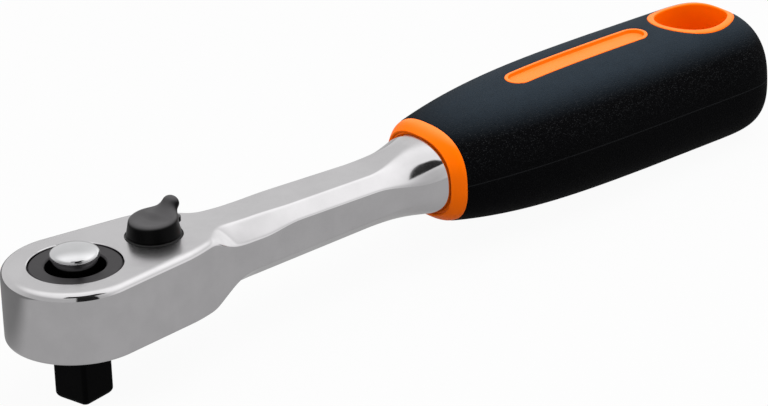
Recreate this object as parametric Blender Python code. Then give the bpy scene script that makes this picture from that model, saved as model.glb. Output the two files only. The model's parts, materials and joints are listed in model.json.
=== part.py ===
"""Reversible ratchet handle with a quick-release square drive.

The origin is the centre of the square's end face. +Z runs up the drive axis to the
release button, and +X runs along the shank to the handle. Sizes are millimetres
until a mesh or a curve is made, and metres from there.
"""

import math
from collections import namedtuple

import bmesh
import bpy
from mathutils import Matrix, Vector

MM = 0.001

# Clearances
SEAT_GAP = 0.3
RUN_GAP = 0.15
SEAL_GAP = 0.2
MOULD_GAP = 0.2

# Square drive
SQUARE = 9.525
SQUARE_LENGTH = 11.8
SQUARE_CORNER = 0.5
SQUARE_CHAMFER = 0.8
SHOULDER_DROP = 3.5
SHOULDER_STEP = 1.46

# Gear
TEETH = 72
TOOTH_DEPTH = 0.62
TOOTH_TIP_SHARE = 0.16
GEAR_STEP = 3.5
HUB_LEDGE = 1.2
HUB_SINK = 0.3
HUB_CHAMFER = 0.3
UPPER_SEAL_WIRE = 0.5
LOWER_SEAL_WIRE = 0.35
WASHER_THICK = 0.6
WASHER_WIDTH = 2.4

# Quick release
BALL_R = 1.6
BALL_OUT = 0.55
BALL_HEIGHT = 5.2
BALL_GAP = 0.16
BALL_LIP = 0.35
BUTTON_R = 5.55
BUTTON_TRAVEL = 2.4
BUTTON_RISE = 2.4
BUTTON_EDGE = 0.8
BUTTON_DOME = 1.5
BUTTON_SKIRT = 0.35
BUTTON_SKIRT_WALL = 0.8
BUTTON_CROWN = 0.7
BUTTON_WELL_DEPTH = 4.2
BUTTON_WELL_GAP = 1.3
RELEASE_RAMP = 0.25
STEM_FOOT = 0.9
RELEASE_WIRE = 0.4
RELEASE_TURNS = 3

# Pawl
PAWL_FIRST_TOOTH = 7
PAWL_TEETH = 5
PAWL_TILT = 3.5
PAWL_RELIEF = 0.7
PAWL_THICK = 4.2
PAWL_BACK_OVER_GEAR = 1.0
PAWL_SWING_ROOM = 0.9
PAWL_PIN_R = 1.0
PAWL_PIN_BITE = 1.1
PAWL_PIN_FOOT = 1.1
MESH_GAP = 0.15
FLANK_GAP = 0.12

# Selector lever
SPINDLE_R = 3.8
PLUNGER_OUT = 0.5
PLUNGER_R = 1.2
PLUNGER_LENGTH = 3.4
SELECTOR_WIRE = 0.22
SELECTOR_COIL_R = 0.85
SELECTOR_TURNS = 2.5
SELECTOR_LENGTH = 2.6
LEVER_SWING = 11.0
LEVER_BASE_R = 5.9
LEVER_TOP_R = 5.1
LEVER_HEIGHT = 3.8
LEVER_EDGE = 0.5
LEVER_RAKE = 0.08
TAB_REACH = 7.8
TAB_RISE = 4.5
TAB_WIDTH = 4.2
TAB_ROOT_WIDTH = 6.2
TAB_THICK = 2.9
TAB_ROUND = 2.4
HEEL_REACH = 6.6
HEEL_WIDTH = 2.6
HEEL_HEIGHT = 2.2
HEEL_UP = 1.2
LEVER_SEAL_THICK = 0.8
LEVER_SEAL_RIM = 0.9
CLIP_THICK = 0.6
CLIP_WIDTH = 1.3
CLIP_DEPTH = 0.8
CLIP_OPENING = 70.0

# Head
NOSE_WALL = 4.6
HEAD_THICK = 17.0
TOP_WALL = 3.3
TOP_FILLET = 1.5
BOTTOM_FILLET = 1.0
HEAD_TAIL = 7.3
HEAD_NARROWING = 3.6
RAMP_LEAD = 4.0

# Cover
COVER_THICK = 2.0
COVER_INSET = 1.7
COVER_TAIL = 6.2
COVER_CORNER = 3.0
SCREW_R = 1.25
SCREW_HEAD_R = 2.4
SCREW_HEAD_DEPTH = 1.3
SCREW_BITE = 5.0
SCREW_SPREAD = 9.0
SCREW_OFFSET = 1.1
SCREW_SOCKET_R = 1.0
SCREW_SOCKET_DEPTH = 0.7

# Shank and tang
RAMP_LENGTH = 12.5
SHANK_LENGTH = 37.2
SHANK_HALF_WIDTH = 8.1
SHANK_HALF_HEIGHT = 7.1
SHANK_TAPER = 0.7
SHANK_CHAMFER = 3.0
FLARE_LENGTH = 18.2
FLARE_HALF_WIDTH = 11.1
FLARE_HALF_HEIGHT = 9.0
FLARE_FLAT = 0.3
TANG_LENGTH = 54.0
TANG_WIDTH = 13.0
TANG_HEIGHT = 9.0

# Handle
COLLAR_OVERLAP = 1.2
COLLAR_LENGTH = 4.4
COLLAR_LIP = 0.15
COLLAR_STEP = 0.1
GRIP_LENGTH = 94.9
GRIP_FRONT_HALF_WIDTH = 13.65
GRIP_FRONT_HALF_HEIGHT = 11.6
GRIP_HALF_WIDTH = 17.5
GRIP_HALF_HEIGHT = 15.85
GRIP_POWER = 2.55
GRIP_BELLY = 8.1
GRIP_CAP = 18.8
CAP_POWER = 4.4
GRIP_WALL = 2.6
LABEL_LENGTH = 42.4
LABEL_HALF_WIDTH = 4.3
LABEL_RIM = 0.9
LABEL_DEPTH = 0.6
LABEL_GAP = 3.7
EYE_BACK = 13.7
EYE_HALF_LENGTH = 11.3
EYE_HALF_WIDTH = 9.9
EYE_RIM = 1.8

# Heights above the square's end face
HEAD_BOTTOM = SQUARE_LENGTH + SHOULDER_DROP
HEAD_TOP = HEAD_BOTTOM + HEAD_THICK
AXIS_Z = (HEAD_BOTTOM + HEAD_TOP) / 2
COVER_TOP = HEAD_BOTTOM + COVER_THICK
COVER_SEAT = COVER_TOP + SEAT_GAP
CEILING = HEAD_TOP - TOP_WALL
WASHER_BOTTOM = COVER_TOP + SEAT_GAP
GEAR_BOTTOM = WASHER_BOTTOM + WASHER_THICK + SEAT_GAP
GEAR_TOP = CEILING - SEAT_GAP
HUB_TOP = HEAD_TOP - HUB_SINK
WELL_FLOOR = HUB_TOP - BUTTON_WELL_DEPTH
PLUNGER_Z = (CEILING + COVER_TOP) / 2
LEVER_SEAL_BOTTOM = HEAD_TOP - LEVER_SEAL_THICK
LEVER_BOTTOM = HEAD_TOP + SEAL_GAP

# Radii and places in plan
LOWER_HUB_R = SQUARE / math.sqrt(2) + SHOULDER_STEP
GEAR_R = LOWER_HUB_R + GEAR_STEP
ROOT_R = GEAR_R - TOOTH_DEPTH
UPPER_HUB_R = GEAR_R - HUB_LEDGE
GEAR_BORE_R = GEAR_R + SEAT_GAP
HEAD_R = GEAR_BORE_R + NOSE_WALL
BALL_X = SQUARE / 2 + BALL_OUT - BALL_R
STEM_R = BALL_X - BALL_R - BALL_GAP
STEM_BORE_R = STEM_R + SEAL_GAP
STEM_BOTTOM = BALL_HEIGHT - STEM_FOOT
WELL_R = BUTTON_R + BUTTON_WELL_GAP
PITCH = 360.0 / TEETH
DRIVE_TURN = 2.5 * PITCH
PAWL_FRONT_X = GEAR_R + PAWL_RELIEF
PAWL_BACK_X = PAWL_FRONT_X + PAWL_THICK
PAWL_PIN_X = PAWL_FRONT_X + PAWL_THICK / 2
PAWL_BACK_R = GEAR_R + PAWL_BACK_OVER_GEAR
PAWL_BACK_CENTRE = PAWL_BACK_X - PAWL_BACK_R
PLUNGER_REACH = SPINDLE_R + PLUNGER_OUT
LEVER_X = PAWL_BACK_X + SEAT_GAP + PLUNGER_REACH
HEAD_REAR_X = LEVER_X + HEAD_TAIL
HEAD_REAR_W = HEAD_R - HEAD_NARROWING
SHANK_START = HEAD_REAR_X + RAMP_LENGTH
SHANK_END = SHANK_START + SHANK_LENGTH
FLARE_END = SHANK_END + FLARE_LENGTH
TANG_END = FLARE_END + TANG_LENGTH
COLLAR_X = FLARE_END - COLLAR_OVERLAP
COLLAR_END = COLLAR_X + COLLAR_LENGTH
GRIP_X = COLLAR_END + MOULD_GAP
GRIP_SWELL = GRIP_LENGTH - GRIP_CAP - GRIP_BELLY
HANDLE_END = GRIP_X + GRIP_LENGTH
EYE_X = HANDLE_END - EYE_BACK
SCREW_X = LEVER_X + SCREW_OFFSET

# Facets
TURN_STEPS = 30
BORE_STEPS = 44
SMALL_STEPS = 20
HANDLE_SIDES = 28
CAP_SWEEP = 89


# Materials

def make_material(name, colour, roughness, metallic):
    material = bpy.data.materials.new(name)
    material.use_nodes = True
    shader = material.node_tree.nodes["Principled BSDF"]
    shader.inputs["Base Color"].default_value = (*colour, 1.0)
    shader.inputs["Roughness"].default_value = roughness
    shader.inputs["Metallic"].default_value = metallic
    return material


# Mesh tools

def add_object(name, bm, material, parent=None, place=(0.0, 0.0, 0.0), turn=0.0):
    """Turn a millimetre bmesh into a named object, at a place and a turn about Z."""
    bmesh.ops.recalc_face_normals(bm, faces=bm.faces)
    bm.transform(Matrix.Scale(MM, 4))
    mesh = bpy.data.meshes.new(name)
    bm.to_mesh(mesh)
    bm.free()
    mesh.shade_smooth()
    mesh.set_sharp_from_angle(angle=math.radians(32))
    if material:
        mesh.materials.append(material)
    obj = bpy.data.objects.new(name, mesh)
    bpy.context.scene.collection.objects.link(obj)
    obj.parent = parent
    obj.location = Vector(place) * MM
    obj.rotation_euler.z = math.radians(turn)
    return obj


def add_axis(name, place, turn):
    """Empty that stands on a joint's axis and carries the pieces that turn with it."""
    axis = bpy.data.objects.new(name, None)
    axis.location = Vector(place) * MM
    axis.rotation_euler.z = math.radians(turn)
    bpy.context.scene.collection.objects.link(axis)
    return axis


def combine(target, other, operation):
    """Boolean of a helper object onto a piece. The helper is left out of the model."""
    other.hide_render = True
    other.display_type = "WIRE"
    modifier = target.modifiers.new(other.name, "BOOLEAN")
    modifier.operation = operation
    modifier.solver = "EXACT"
    modifier.object = other


def cut(target, *others):
    for other in others:
        combine(target, other, "DIFFERENCE")


def unite(target, *others):
    for other in others:
        combine(target, other, "UNION")


def loft(rings):
    """Skin closed rings of equal point counts, with a cap on the first and the last."""
    bm = bmesh.new()
    loops = [[bm.verts.new(point) for point in ring] for ring in rings]
    count = len(rings[0])
    for low, high in zip(loops, loops[1:]):
        for i in range(count):
            j = (i + 1) % count
            bm.faces.new((low[i], low[j], high[j], high[i]))
    bm.faces.new(reversed(loops[0]))
    bm.faces.new(loops[-1])
    return bm


def prism(outline, bottom, top):
    """Plan outline carried straight up between two heights."""
    rings = [[(x, y, z) for x, y in outline] for z in (bottom, top)]
    return loft(rings)


def circle(radius, steps, centre=(0.0, 0.0)):
    """Round outline whose corners lie clear of the axes, so that cuts cross the mirror plane on an edge."""
    turns = [2 * math.pi * (i + 0.5) / steps for i in range(steps)]
    return [(centre[0] + radius * math.cos(a), centre[1] + radius * math.sin(a)) for a in turns]


def cylinder(radius, bottom, top, centre=(0.0, 0.0), steps=TURN_STEPS):
    return prism(circle(radius, steps, centre), bottom, top)


def turned(profile, steps=TURN_STEPS, closed=False):
    """Spin a profile of (radius, height) points about Z. A closed profile makes a ring."""
    bm = bmesh.new()
    verts = [bm.verts.new((r, 0.0, z)) for r, z in profile]
    edges = [bm.edges.new(pair) for pair in zip(verts, verts[1:])]
    if closed:
        edges.append(bm.edges.new((verts[-1], verts[0])))
    bmesh.ops.spin(bm, geom=verts + edges, axis=(0, 0, 1), cent=(0, 0, 0), angle=2 * math.pi, steps=steps)
    bmesh.ops.remove_doubles(bm, verts=bm.verts, dist=1e-4)
    return bm


def seal_ring(radius, wire, height, sides=6):
    """Round rubber ring about Z."""
    turns = [2 * math.pi * i / sides for i in range(sides)]
    profile = [(radius + wire * math.cos(a), height + wire * math.sin(a)) for a in turns]
    return turned(profile, closed=True)


def lay_along_x(bm, reverse=False):
    """Lay a shape that was turned about Z along +X, or along -X."""
    side = -1 if reverse else 1
    bm.transform(Matrix.Rotation(side * math.pi / 2, 4, "Y"))
    return bm


def arc(radius, start, end, steps, centre=(0.0, 0.0)):
    """Points of an arc, angles in degrees."""
    angles = [math.radians(start + (end - start) * i / steps) for i in range(steps + 1)]
    return [(centre[0] + radius * math.cos(a), centre[1] + radius * math.sin(a)) for a in angles]


def rounded_square(side, corner, steps=4):
    """Square outline with round corners."""
    inner = side / 2 - corner
    centres = ((inner, inner), (-inner, inner), (-inner, -inner), (inner, -inner))
    points = []
    for quarter, centre in enumerate(centres):
        points += arc(corner, 90 * quarter, 90 * quarter + 90, steps, centre)
    return points


def oval(half_width, half_height, power, sides=HANDLE_SIDES):
    """Superellipse of (across, up) points: an ellipse at power 2, squarer above it."""
    points = []
    for i in range(sides):
        angle = 2 * math.pi * i / sides
        c = math.cos(angle)
        s = math.sin(angle)
        across = half_width * math.copysign(abs(c) ** (2 / power), c)
        points.append((across, half_height * math.copysign(abs(s) ** (2 / power), s)))
    return points


def smooth(t):
    t = min(max(t, 0.0), 1.0)
    return t * t * (3 - 2 * t)


def mix(a, b, t):
    return a + (b - a) * t


def coil(name, radius, wire, turns, length, material, parent, place):
    """One unbroken helical wire about +Z, between flat ends at 0 and length."""
    points_per_turn = 9
    count = round(turns * points_per_turn)
    run = length - 2 * wire
    points = []
    for i in range(count + 1):
        a = 2 * math.pi * turns * i / count
        points.append((radius * math.cos(a), radius * math.sin(a), wire + run * i / count))
    gap = min(
        math.dist(points[i], points[j]) - 2 * wire
        for i in range(len(points))
        for j in range(i + points_per_turn // 2 + 1, len(points))
    )
    print(name, "least gap between curls", round(gap, 3), "mm")
    curve = bpy.data.curves.new(name, "CURVE")
    curve.dimensions = "3D"
    curve.bevel_depth = wire * MM
    curve.bevel_resolution = 1
    curve.use_fill_caps = True
    spline = curve.splines.new("POLY")
    spline.points.add(len(points) - 1)
    for vertex, point in zip(spline.points, points):
        vertex.co = (*(Vector(point) * MM), 1.0)
    curve.materials.append(material)
    obj = bpy.data.objects.new(name, curve)
    bpy.context.scene.collection.objects.link(obj)
    obj.parent = parent
    obj.location = Vector(place) * MM
    return obj


# Forged body

Station = namedtuple("Station", "place normal half_height top bottom facet power")


def nose_end(inset):
    """Angle at which the straight flank leaves the round nose, and the nose's radius less an inset."""
    reach = math.hypot(HEAD_REAR_X, HEAD_REAR_W)
    angle = math.atan2(HEAD_REAR_W, HEAD_REAR_X) + math.acos(HEAD_R / reach)
    return math.degrees(angle), HEAD_R - inset


def head_stations():
    """Half the head's outline in plan: the round nose and the start of the straight flank."""
    leave, radius = nose_end(0)
    head = (HEAD_THICK / 2, (TOP_FILLET, TOP_FILLET), (BOTTOM_FILLET, BOTTOM_FILLET), 0, 2)
    nose_steps = 13
    flank_steps = 2
    stations = []
    for x, y in arc(radius, 180, leave, nose_steps):
        stations.append(Station(Vector((x, y)), Vector((-x, -y)).normalized(), *head))
    start = stations[-1].place
    rear = Vector((HEAD_REAR_X, HEAD_REAR_W))
    flank = (rear - start).normalized()
    lead = rear - flank * RAMP_LEAD
    for i in range(1, flank_steps + 1):
        stations.append(Station(start.lerp(lead, i / flank_steps), Vector((flank.y, -flank.x)), *head))
    return stations, flank


def ramp_stations(lead, flank):
    """Head to shank on a Bezier curve in plan, while the height falls and the fillets turn into chamfers."""
    shank = Vector((SHANK_START, SHANK_HALF_WIDTH))
    first = lead + flank * RAMP_LENGTH / 2
    second = shank - Vector((RAMP_LENGTH / 2, 0))
    steps = 8
    stations = []
    for i in range(1, steps + 1):
        t = i / steps
        s = 1 - t
        place = lead * s**3 + first * 3 * s * s * t + second * 3 * s * t * t + shank * t**3
        slope = (first - lead) * s * s + (second - first) * 2 * s * t + (shank - second) * t * t
        fall = smooth(t)
        top = mix(TOP_FILLET, SHANK_CHAMFER, fall)
        bottom = mix(BOTTOM_FILLET, SHANK_CHAMFER, fall)
        half_height = mix(HEAD_THICK / 2, SHANK_HALF_HEIGHT, fall)
        normal = Vector((slope.y, -slope.x)).normalized()
        stations.append(Station(place, normal, half_height, (top, top), (bottom, bottom), fall, 2))
    return stations


def shank_stations():
    """Eight-sided shank, a little slimmer to the rear, and its flare to the oval collar seat."""
    inward = Vector((0, -1))
    width = SHANK_HALF_WIDTH - SHANK_TAPER
    height = SHANK_HALF_HEIGHT - SHANK_TAPER
    chamfer = (SHANK_CHAMFER, SHANK_CHAMFER)
    stations = [Station(Vector((SHANK_END, width)), inward, height, chamfer, chamfer, 1, 2)]
    steps = 8
    for i in range(1, steps + 1):
        t = i / steps
        swell = smooth(t)
        place = Vector((mix(SHANK_END, FLARE_END, t), mix(width, FLARE_HALF_WIDTH, swell)))
        corner = (mix(SHANK_CHAMFER, FLARE_HALF_WIDTH - FLARE_FLAT, swell),
                  mix(SHANK_CHAMFER, FLARE_HALF_HEIGHT - FLARE_FLAT, swell))
        half_height = mix(height, FLARE_HALF_HEIGHT, swell)
        stations.append(Station(place, inward, half_height, corner, corner, 1 - swell, mix(2, GRIP_POWER, swell)))
    return stations


def corner_point(station, size, t):
    """Inset and drop at share t of a corner, from the side face to the flat: round or a straight facet."""
    angle = t * math.pi / 2
    inset = mix(1 - math.cos(angle) ** (2 / station.power), t, station.facet)
    drop = mix(1 - math.sin(angle) ** (2 / station.power), 1 - t, station.facet)
    return size[0] * inset, size[1] * drop


def section_half(station, corner_steps):
    """Points of half a section, from the middle of its underside round to the middle of its top."""
    points = []
    for size, side in ((station.bottom, -1), (station.top, 1)):
        shares = [i / corner_steps for i in range(corner_steps + 1)]
        for t in shares if side > 0 else reversed(shares):
            inset, drop = corner_point(station, size, t)
            spot = station.place + station.normal * inset
            points.append((spot.x, max(spot.y, 0.0), AXIS_Z + side * (station.half_height - drop)))
    low, high = points[0], points[-1]
    return [(low[0], 0.0, low[2])] + points + [(high[0], 0.0, high[2])]


def tang_form(gap):
    """Flat tang from inside the flare to its end, grown by a gap for its socket."""
    half_w = TANG_WIDTH / 2 + gap
    half_h = TANG_HEIGHT / 2 + gap
    section = ((half_w, half_h), (-half_w, half_h), (-half_w, -half_h), (half_w, -half_h))
    ends = (FLARE_END - FLARE_LENGTH / 2, TANG_END + gap)
    return loft([[(x, y, AXIS_Z + z) for y, z in section] for x in ends])


def build_body(chrome):
    """Head, shank and flare as half a skin across the stations, mirrored, then bored from below."""
    corner_steps = 4
    head, flank = head_stations()
    stations = head + ramp_stations(head[-1].place, flank) + shank_stations()
    bm = bmesh.new()
    columns = [[bm.verts.new(point) for point in section_half(station, corner_steps)] for station in stations]
    for near, far in zip(columns, columns[1:]):
        for i in range(len(near) - 1):
            bm.faces.new((near[i], far[i], far[i + 1], near[i + 1]))
    bm.faces.new(columns[-1])
    bmesh.ops.remove_doubles(bm, verts=bm.verts, dist=1e-4)
    body = add_object("ratchet_body", bm, chrome)
    mirror = body.modifiers.new("other_half", "MIRROR")
    mirror.use_axis = (False, True, False)
    mirror.merge_threshold = 1e-5
    unite(body, add_object("tang_form", tang_form(0), None))

    below = HEAD_BOTTOM - HEAD_THICK
    above = HEAD_TOP + HEAD_THICK
    window = [(PAWL_PIN_X, -PAWL_THICK), (LEVER_X, -PAWL_THICK), (LEVER_X, PAWL_THICK), (PAWL_PIN_X, PAWL_THICK)]
    pocket_r = PAWL_BACK_R + PAWL_SWING_ROOM
    clip_room_r = SPINDLE_R - CLIP_DEPTH + SEAL_GAP + CLIP_WIDTH + SEAT_GAP
    clip_top = clip_bottom() + CLIP_THICK + SEAT_GAP
    seal_seat_r = LEVER_BASE_R + LEVER_SEAL_RIM + SEAL_GAP
    pin_top = CEILING + PAWL_PIN_BITE + SEAT_GAP
    lever = (LEVER_X, 0)
    cuts = {
        "hub_hole": cylinder(UPPER_HUB_R + SEAL_GAP, AXIS_Z, above, steps=BORE_STEPS),
        "gear_bore": cylinder(GEAR_BORE_R, below, CEILING, steps=BORE_STEPS),
        "pawl_pocket": cylinder(pocket_r, COVER_TOP, CEILING, (PAWL_BACK_CENTRE, 0)),
        "plunger_window": prism(window, COVER_TOP, CEILING),
        "lever_bore": cylinder(SPINDLE_R + RUN_GAP, below, above, lever),
        "lever_seal_seat": cylinder(seal_seat_r, LEVER_SEAL_BOTTOM - SEAL_GAP, above, lever),
        "clip_room": cylinder(clip_room_r, below, clip_top, lever),
        "pawl_pin_hole": cylinder(PAWL_PIN_R + RUN_GAP, AXIS_Z, pin_top, (PAWL_PIN_X, 0), SMALL_STEPS),
        "cover_recess": prism(cover_outline(SEAL_GAP), below, COVER_SEAT),
    }
    screw_end = COVER_SEAT + SCREW_BITE + SEAT_GAP
    for side in (-1, 1):
        place = (SCREW_X, side * SCREW_SPREAD)
        cuts["screw_hole_%d" % side] = cylinder(SCREW_R + RUN_GAP, below, screw_end, place, SMALL_STEPS)
    for name, shape in cuts.items():
        cut(body, add_object(name, shape, None))
    return body


# Cover and its screws

def cover_outline(grow):
    """Pear outline of the cover: round nose, straight flanks and a round-cornered tail."""
    leave, radius = nose_end(COVER_INSET - grow)
    slope = math.radians(leave - 90)
    start_x, start_y = arc(radius, leave, leave, 1)[0]
    corner = COVER_CORNER + grow
    corner_x = LEVER_X + COVER_TAIL + grow - corner
    corner_y = start_y + (corner_x - start_x) * math.tan(slope) - corner / math.cos(slope)
    upper = arc(corner, 0, leave, 5, (corner_x, corner_y))
    nose = arc(radius, leave, 360 - leave, 36)
    lower = [(x, -y) for x, y in reversed(upper)]
    return upper + nose + lower


def build_cover(steel):
    cover = add_object("cover_plate", prism(cover_outline(0), HEAD_BOTTOM, COVER_TOP), steel)
    below = HEAD_BOTTOM - COVER_THICK
    above = COVER_TOP + COVER_THICK
    cut(cover, add_object("cover_hole", cylinder(LOWER_HUB_R + SEAL_GAP, below, above), None))
    cut(cover, add_object("pin_dimple", cylinder(PAWL_PIN_R + RUN_GAP, COVER_TOP - PAWL_PIN_FOOT - SEAT_GAP, above,
                                                 (PAWL_PIN_X, 0), SMALL_STEPS), None))
    for side in (-1, 1):
        seat = turned(screw_profile(SEAL_GAP), SMALL_STEPS)
        cut(cover, add_object("screw_seat_%d" % side, seat, None, place=(SCREW_X, side * SCREW_SPREAD, 0)))
    return cover


def screw_profile(grow=0.0):
    """Countersunk screw, head down, from its thread's top end to its head. Grown, it is the seat to cut."""
    top = COVER_SEAT + SCREW_BITE + grow
    neck = HEAD_BOTTOM + SCREW_HEAD_DEPTH
    profile = [(0, top), (SCREW_R + grow, top), (SCREW_R + grow, neck), (SCREW_HEAD_R + grow, HEAD_BOTTOM)]
    if grow:
        profile.append((SCREW_HEAD_R + grow, HEAD_BOTTOM - grow))
    return profile + [(0, HEAD_BOTTOM - grow)]


def build_screws(steel):
    """Two countersunk screws with hexagon sockets."""
    for number, side in enumerate((-1, 1), 1):
        place = (SCREW_X, side * SCREW_SPREAD, 0)
        screw = add_object("cover_screw_%d" % number, turned(screw_profile(), SMALL_STEPS), steel, place=place)
        low = HEAD_BOTTOM - SCREW_SOCKET_DEPTH
        socket = cylinder(SCREW_SOCKET_R, low, HEAD_BOTTOM + SCREW_SOCKET_DEPTH, steps=6)
        cut(screw, add_object("screw_socket_%d" % number, socket, None, place=place))


# Drive gear with its square, seals and washer

def gear_outline():
    """Symmetric ratchet teeth: tip and root flats of equal share, with a tip on the gear's own +X."""
    flat = TOOTH_TIP_SHARE / 2
    points = []
    for tooth in range(TEETH):
        for share, radius in ((-0.5 + flat, ROOT_R), (-flat, GEAR_R), (flat, GEAR_R), (0.5 - flat, ROOT_R)):
            angle = math.radians((tooth + share) * PITCH)
            points.append((radius * math.cos(angle), radius * math.sin(angle)))
    return points


def seal_groove(hub, wire, height):
    """Groove points down a hub's side, for a ring of that wire."""
    floor = hub - SEAL_GAP - 2 * wire
    half = wire + SEAL_GAP
    return [(hub, height + half), (floor, height + half), (floor, height - half), (hub, height - half)]


def upper_seal_height():
    return (CEILING + HEAD_TOP) / 2


def lower_seal_height():
    return (HEAD_BOTTOM + COVER_TOP) / 2


def build_gear(black, axis):
    core = [(0, HUB_TOP), (UPPER_HUB_R - HUB_CHAMFER, HUB_TOP), (UPPER_HUB_R, HUB_TOP - HUB_CHAMFER)]
    core += seal_groove(UPPER_HUB_R, UPPER_SEAL_WIRE, upper_seal_height())
    core += [(UPPER_HUB_R, AXIS_Z), (LOWER_HUB_R, AXIS_Z)]
    core += seal_groove(LOWER_HUB_R, LOWER_SEAL_WIRE, lower_seal_height())
    shoulder = SQUARE_LENGTH + SQUARE_CHAMFER
    core += [(LOWER_HUB_R, shoulder), (LOWER_HUB_R - SQUARE_CHAMFER, SQUARE_LENGTH), (0, SQUARE_LENGTH)]
    gear = add_object("drive_gear", turned(core), black, axis)
    unite(gear, add_object("tooth_ring", prism(gear_outline(), GEAR_BOTTOM, GEAR_TOP), None, axis))

    tip_side = SQUARE - 2 * SQUARE_CHAMFER
    tip_corner = SQUARE_CORNER * tip_side / SQUARE
    outlines = ((tip_side, tip_corner, 0.0), (SQUARE, SQUARE_CORNER, SQUARE_CHAMFER),
                (SQUARE, SQUARE_CORNER, SQUARE_LENGTH + SHOULDER_DROP / 2))
    rings = [[(x, y, z) for x, y in rounded_square(side, corner)] for side, corner, z in outlines]
    unite(gear, add_object("square_form", loft(rings), None, axis))

    cut(gear, add_object("button_well", cylinder(WELL_R, WELL_FLOOR, HUB_TOP + HEAD_THICK), None, axis))
    stem_end = STEM_BOTTOM - BUTTON_TRAVEL - SEAT_GAP
    cut(gear, add_object("stem_bore", cylinder(STEM_BORE_R, stem_end, HUB_TOP, steps=SMALL_STEPS), None, axis))
    hole_r = BALL_R + RUN_GAP
    lip_r = math.sqrt(BALL_R**2 - (BALL_R - BALL_OUT) ** 2) + RUN_GAP
    face = SQUARE / 2
    bore = [(0, face + SQUARE), (lip_r, face + SQUARE), (lip_r, face), (hole_r, face - BALL_LIP), (hole_r, 0), (0, 0)]
    hole = lay_along_x(turned(bore, SMALL_STEPS))
    cut(gear, add_object("ball_hole", hole, None, axis, (0, 0, BALL_HEIGHT)))
    return gear


def build_gear_seals(rubber, steel, axis):
    upper = UPPER_HUB_R - UPPER_SEAL_WIRE
    lower = LOWER_HUB_R - LOWER_SEAL_WIRE
    add_object("upper_gear_seal", seal_ring(upper, UPPER_SEAL_WIRE, upper_seal_height()), rubber, axis)
    add_object("lower_gear_seal", seal_ring(lower, LOWER_SEAL_WIRE, lower_seal_height()), rubber, axis)
    inner = LOWER_HUB_R + SEAT_GAP
    profile = [(inner + WASHER_WIDTH, WASHER_BOTTOM + WASHER_THICK), (inner + WASHER_WIDTH, WASHER_BOTTOM),
               (inner, WASHER_BOTTOM), (inner, WASHER_BOTTOM + WASHER_THICK)]
    add_object("thrust_washer", turned(profile, closed=True), steel)


# Quick release

def build_button(chrome, axis):
    """Domed button, skirt and stem in one piece, with the ramp that lets the ball in."""
    rim_top = HEAD_TOP + BUTTON_RISE
    rim_bottom = rim_top - BUTTON_EDGE
    skirt_r = BUTTON_R - BUTTON_SKIRT
    skirt_bottom = WELL_FLOOR + BUTTON_TRAVEL + SEAT_GAP
    dome_steps = 6
    profile = []
    for i in range(dome_steps + 1):
        a = math.pi / 2 * i / dome_steps
        profile.append((BUTTON_R * math.sin(a), rim_top + BUTTON_DOME * math.cos(a)))
    profile += [(BUTTON_R, rim_bottom), (skirt_r, rim_bottom), (skirt_r, skirt_bottom)]
    profile += [(cup_r(), skirt_bottom), (cup_r(), cup_ceiling()), (STEM_R, cup_ceiling())]
    ramp_top = BALL_HEIGHT + BUTTON_TRAVEL + BALL_R / 4
    neck_r = STEM_R - RELEASE_RAMP * (ramp_top - BALL_HEIGHT)
    profile += [(STEM_R, ramp_top + STEM_R - neck_r), (neck_r, ramp_top), (STEM_R, BALL_HEIGHT)]
    profile += [(STEM_R, STEM_BOTTOM), (0, STEM_BOTTOM)]
    return add_object("release_button", turned(profile), chrome, axis)


def cup_r():
    return BUTTON_R - BUTTON_SKIRT - BUTTON_SKIRT_WALL


def cup_ceiling():
    return HEAD_TOP + BUTTON_RISE - BUTTON_EDGE - BUTTON_CROWN


def build_release_spring(spring_steel, axis):
    start = WELL_FLOOR + SEAT_GAP
    length = cup_ceiling() - SEAT_GAP - start
    radius = (cup_r() + STEM_R) / 2
    coil("release_spring", radius, RELEASE_WIRE, RELEASE_TURNS, length, spring_steel, axis, (0, 0, start))


def build_ball(steel, axis):
    bm = bmesh.new()
    bmesh.ops.create_uvsphere(bm, u_segments=SMALL_STEPS, v_segments=SMALL_STEPS // 2, radius=BALL_R)
    add_object("detent_ball", bm, steel, axis, (BALL_X, 0, BALL_HEIGHT))


# Pawl and its pin

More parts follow.
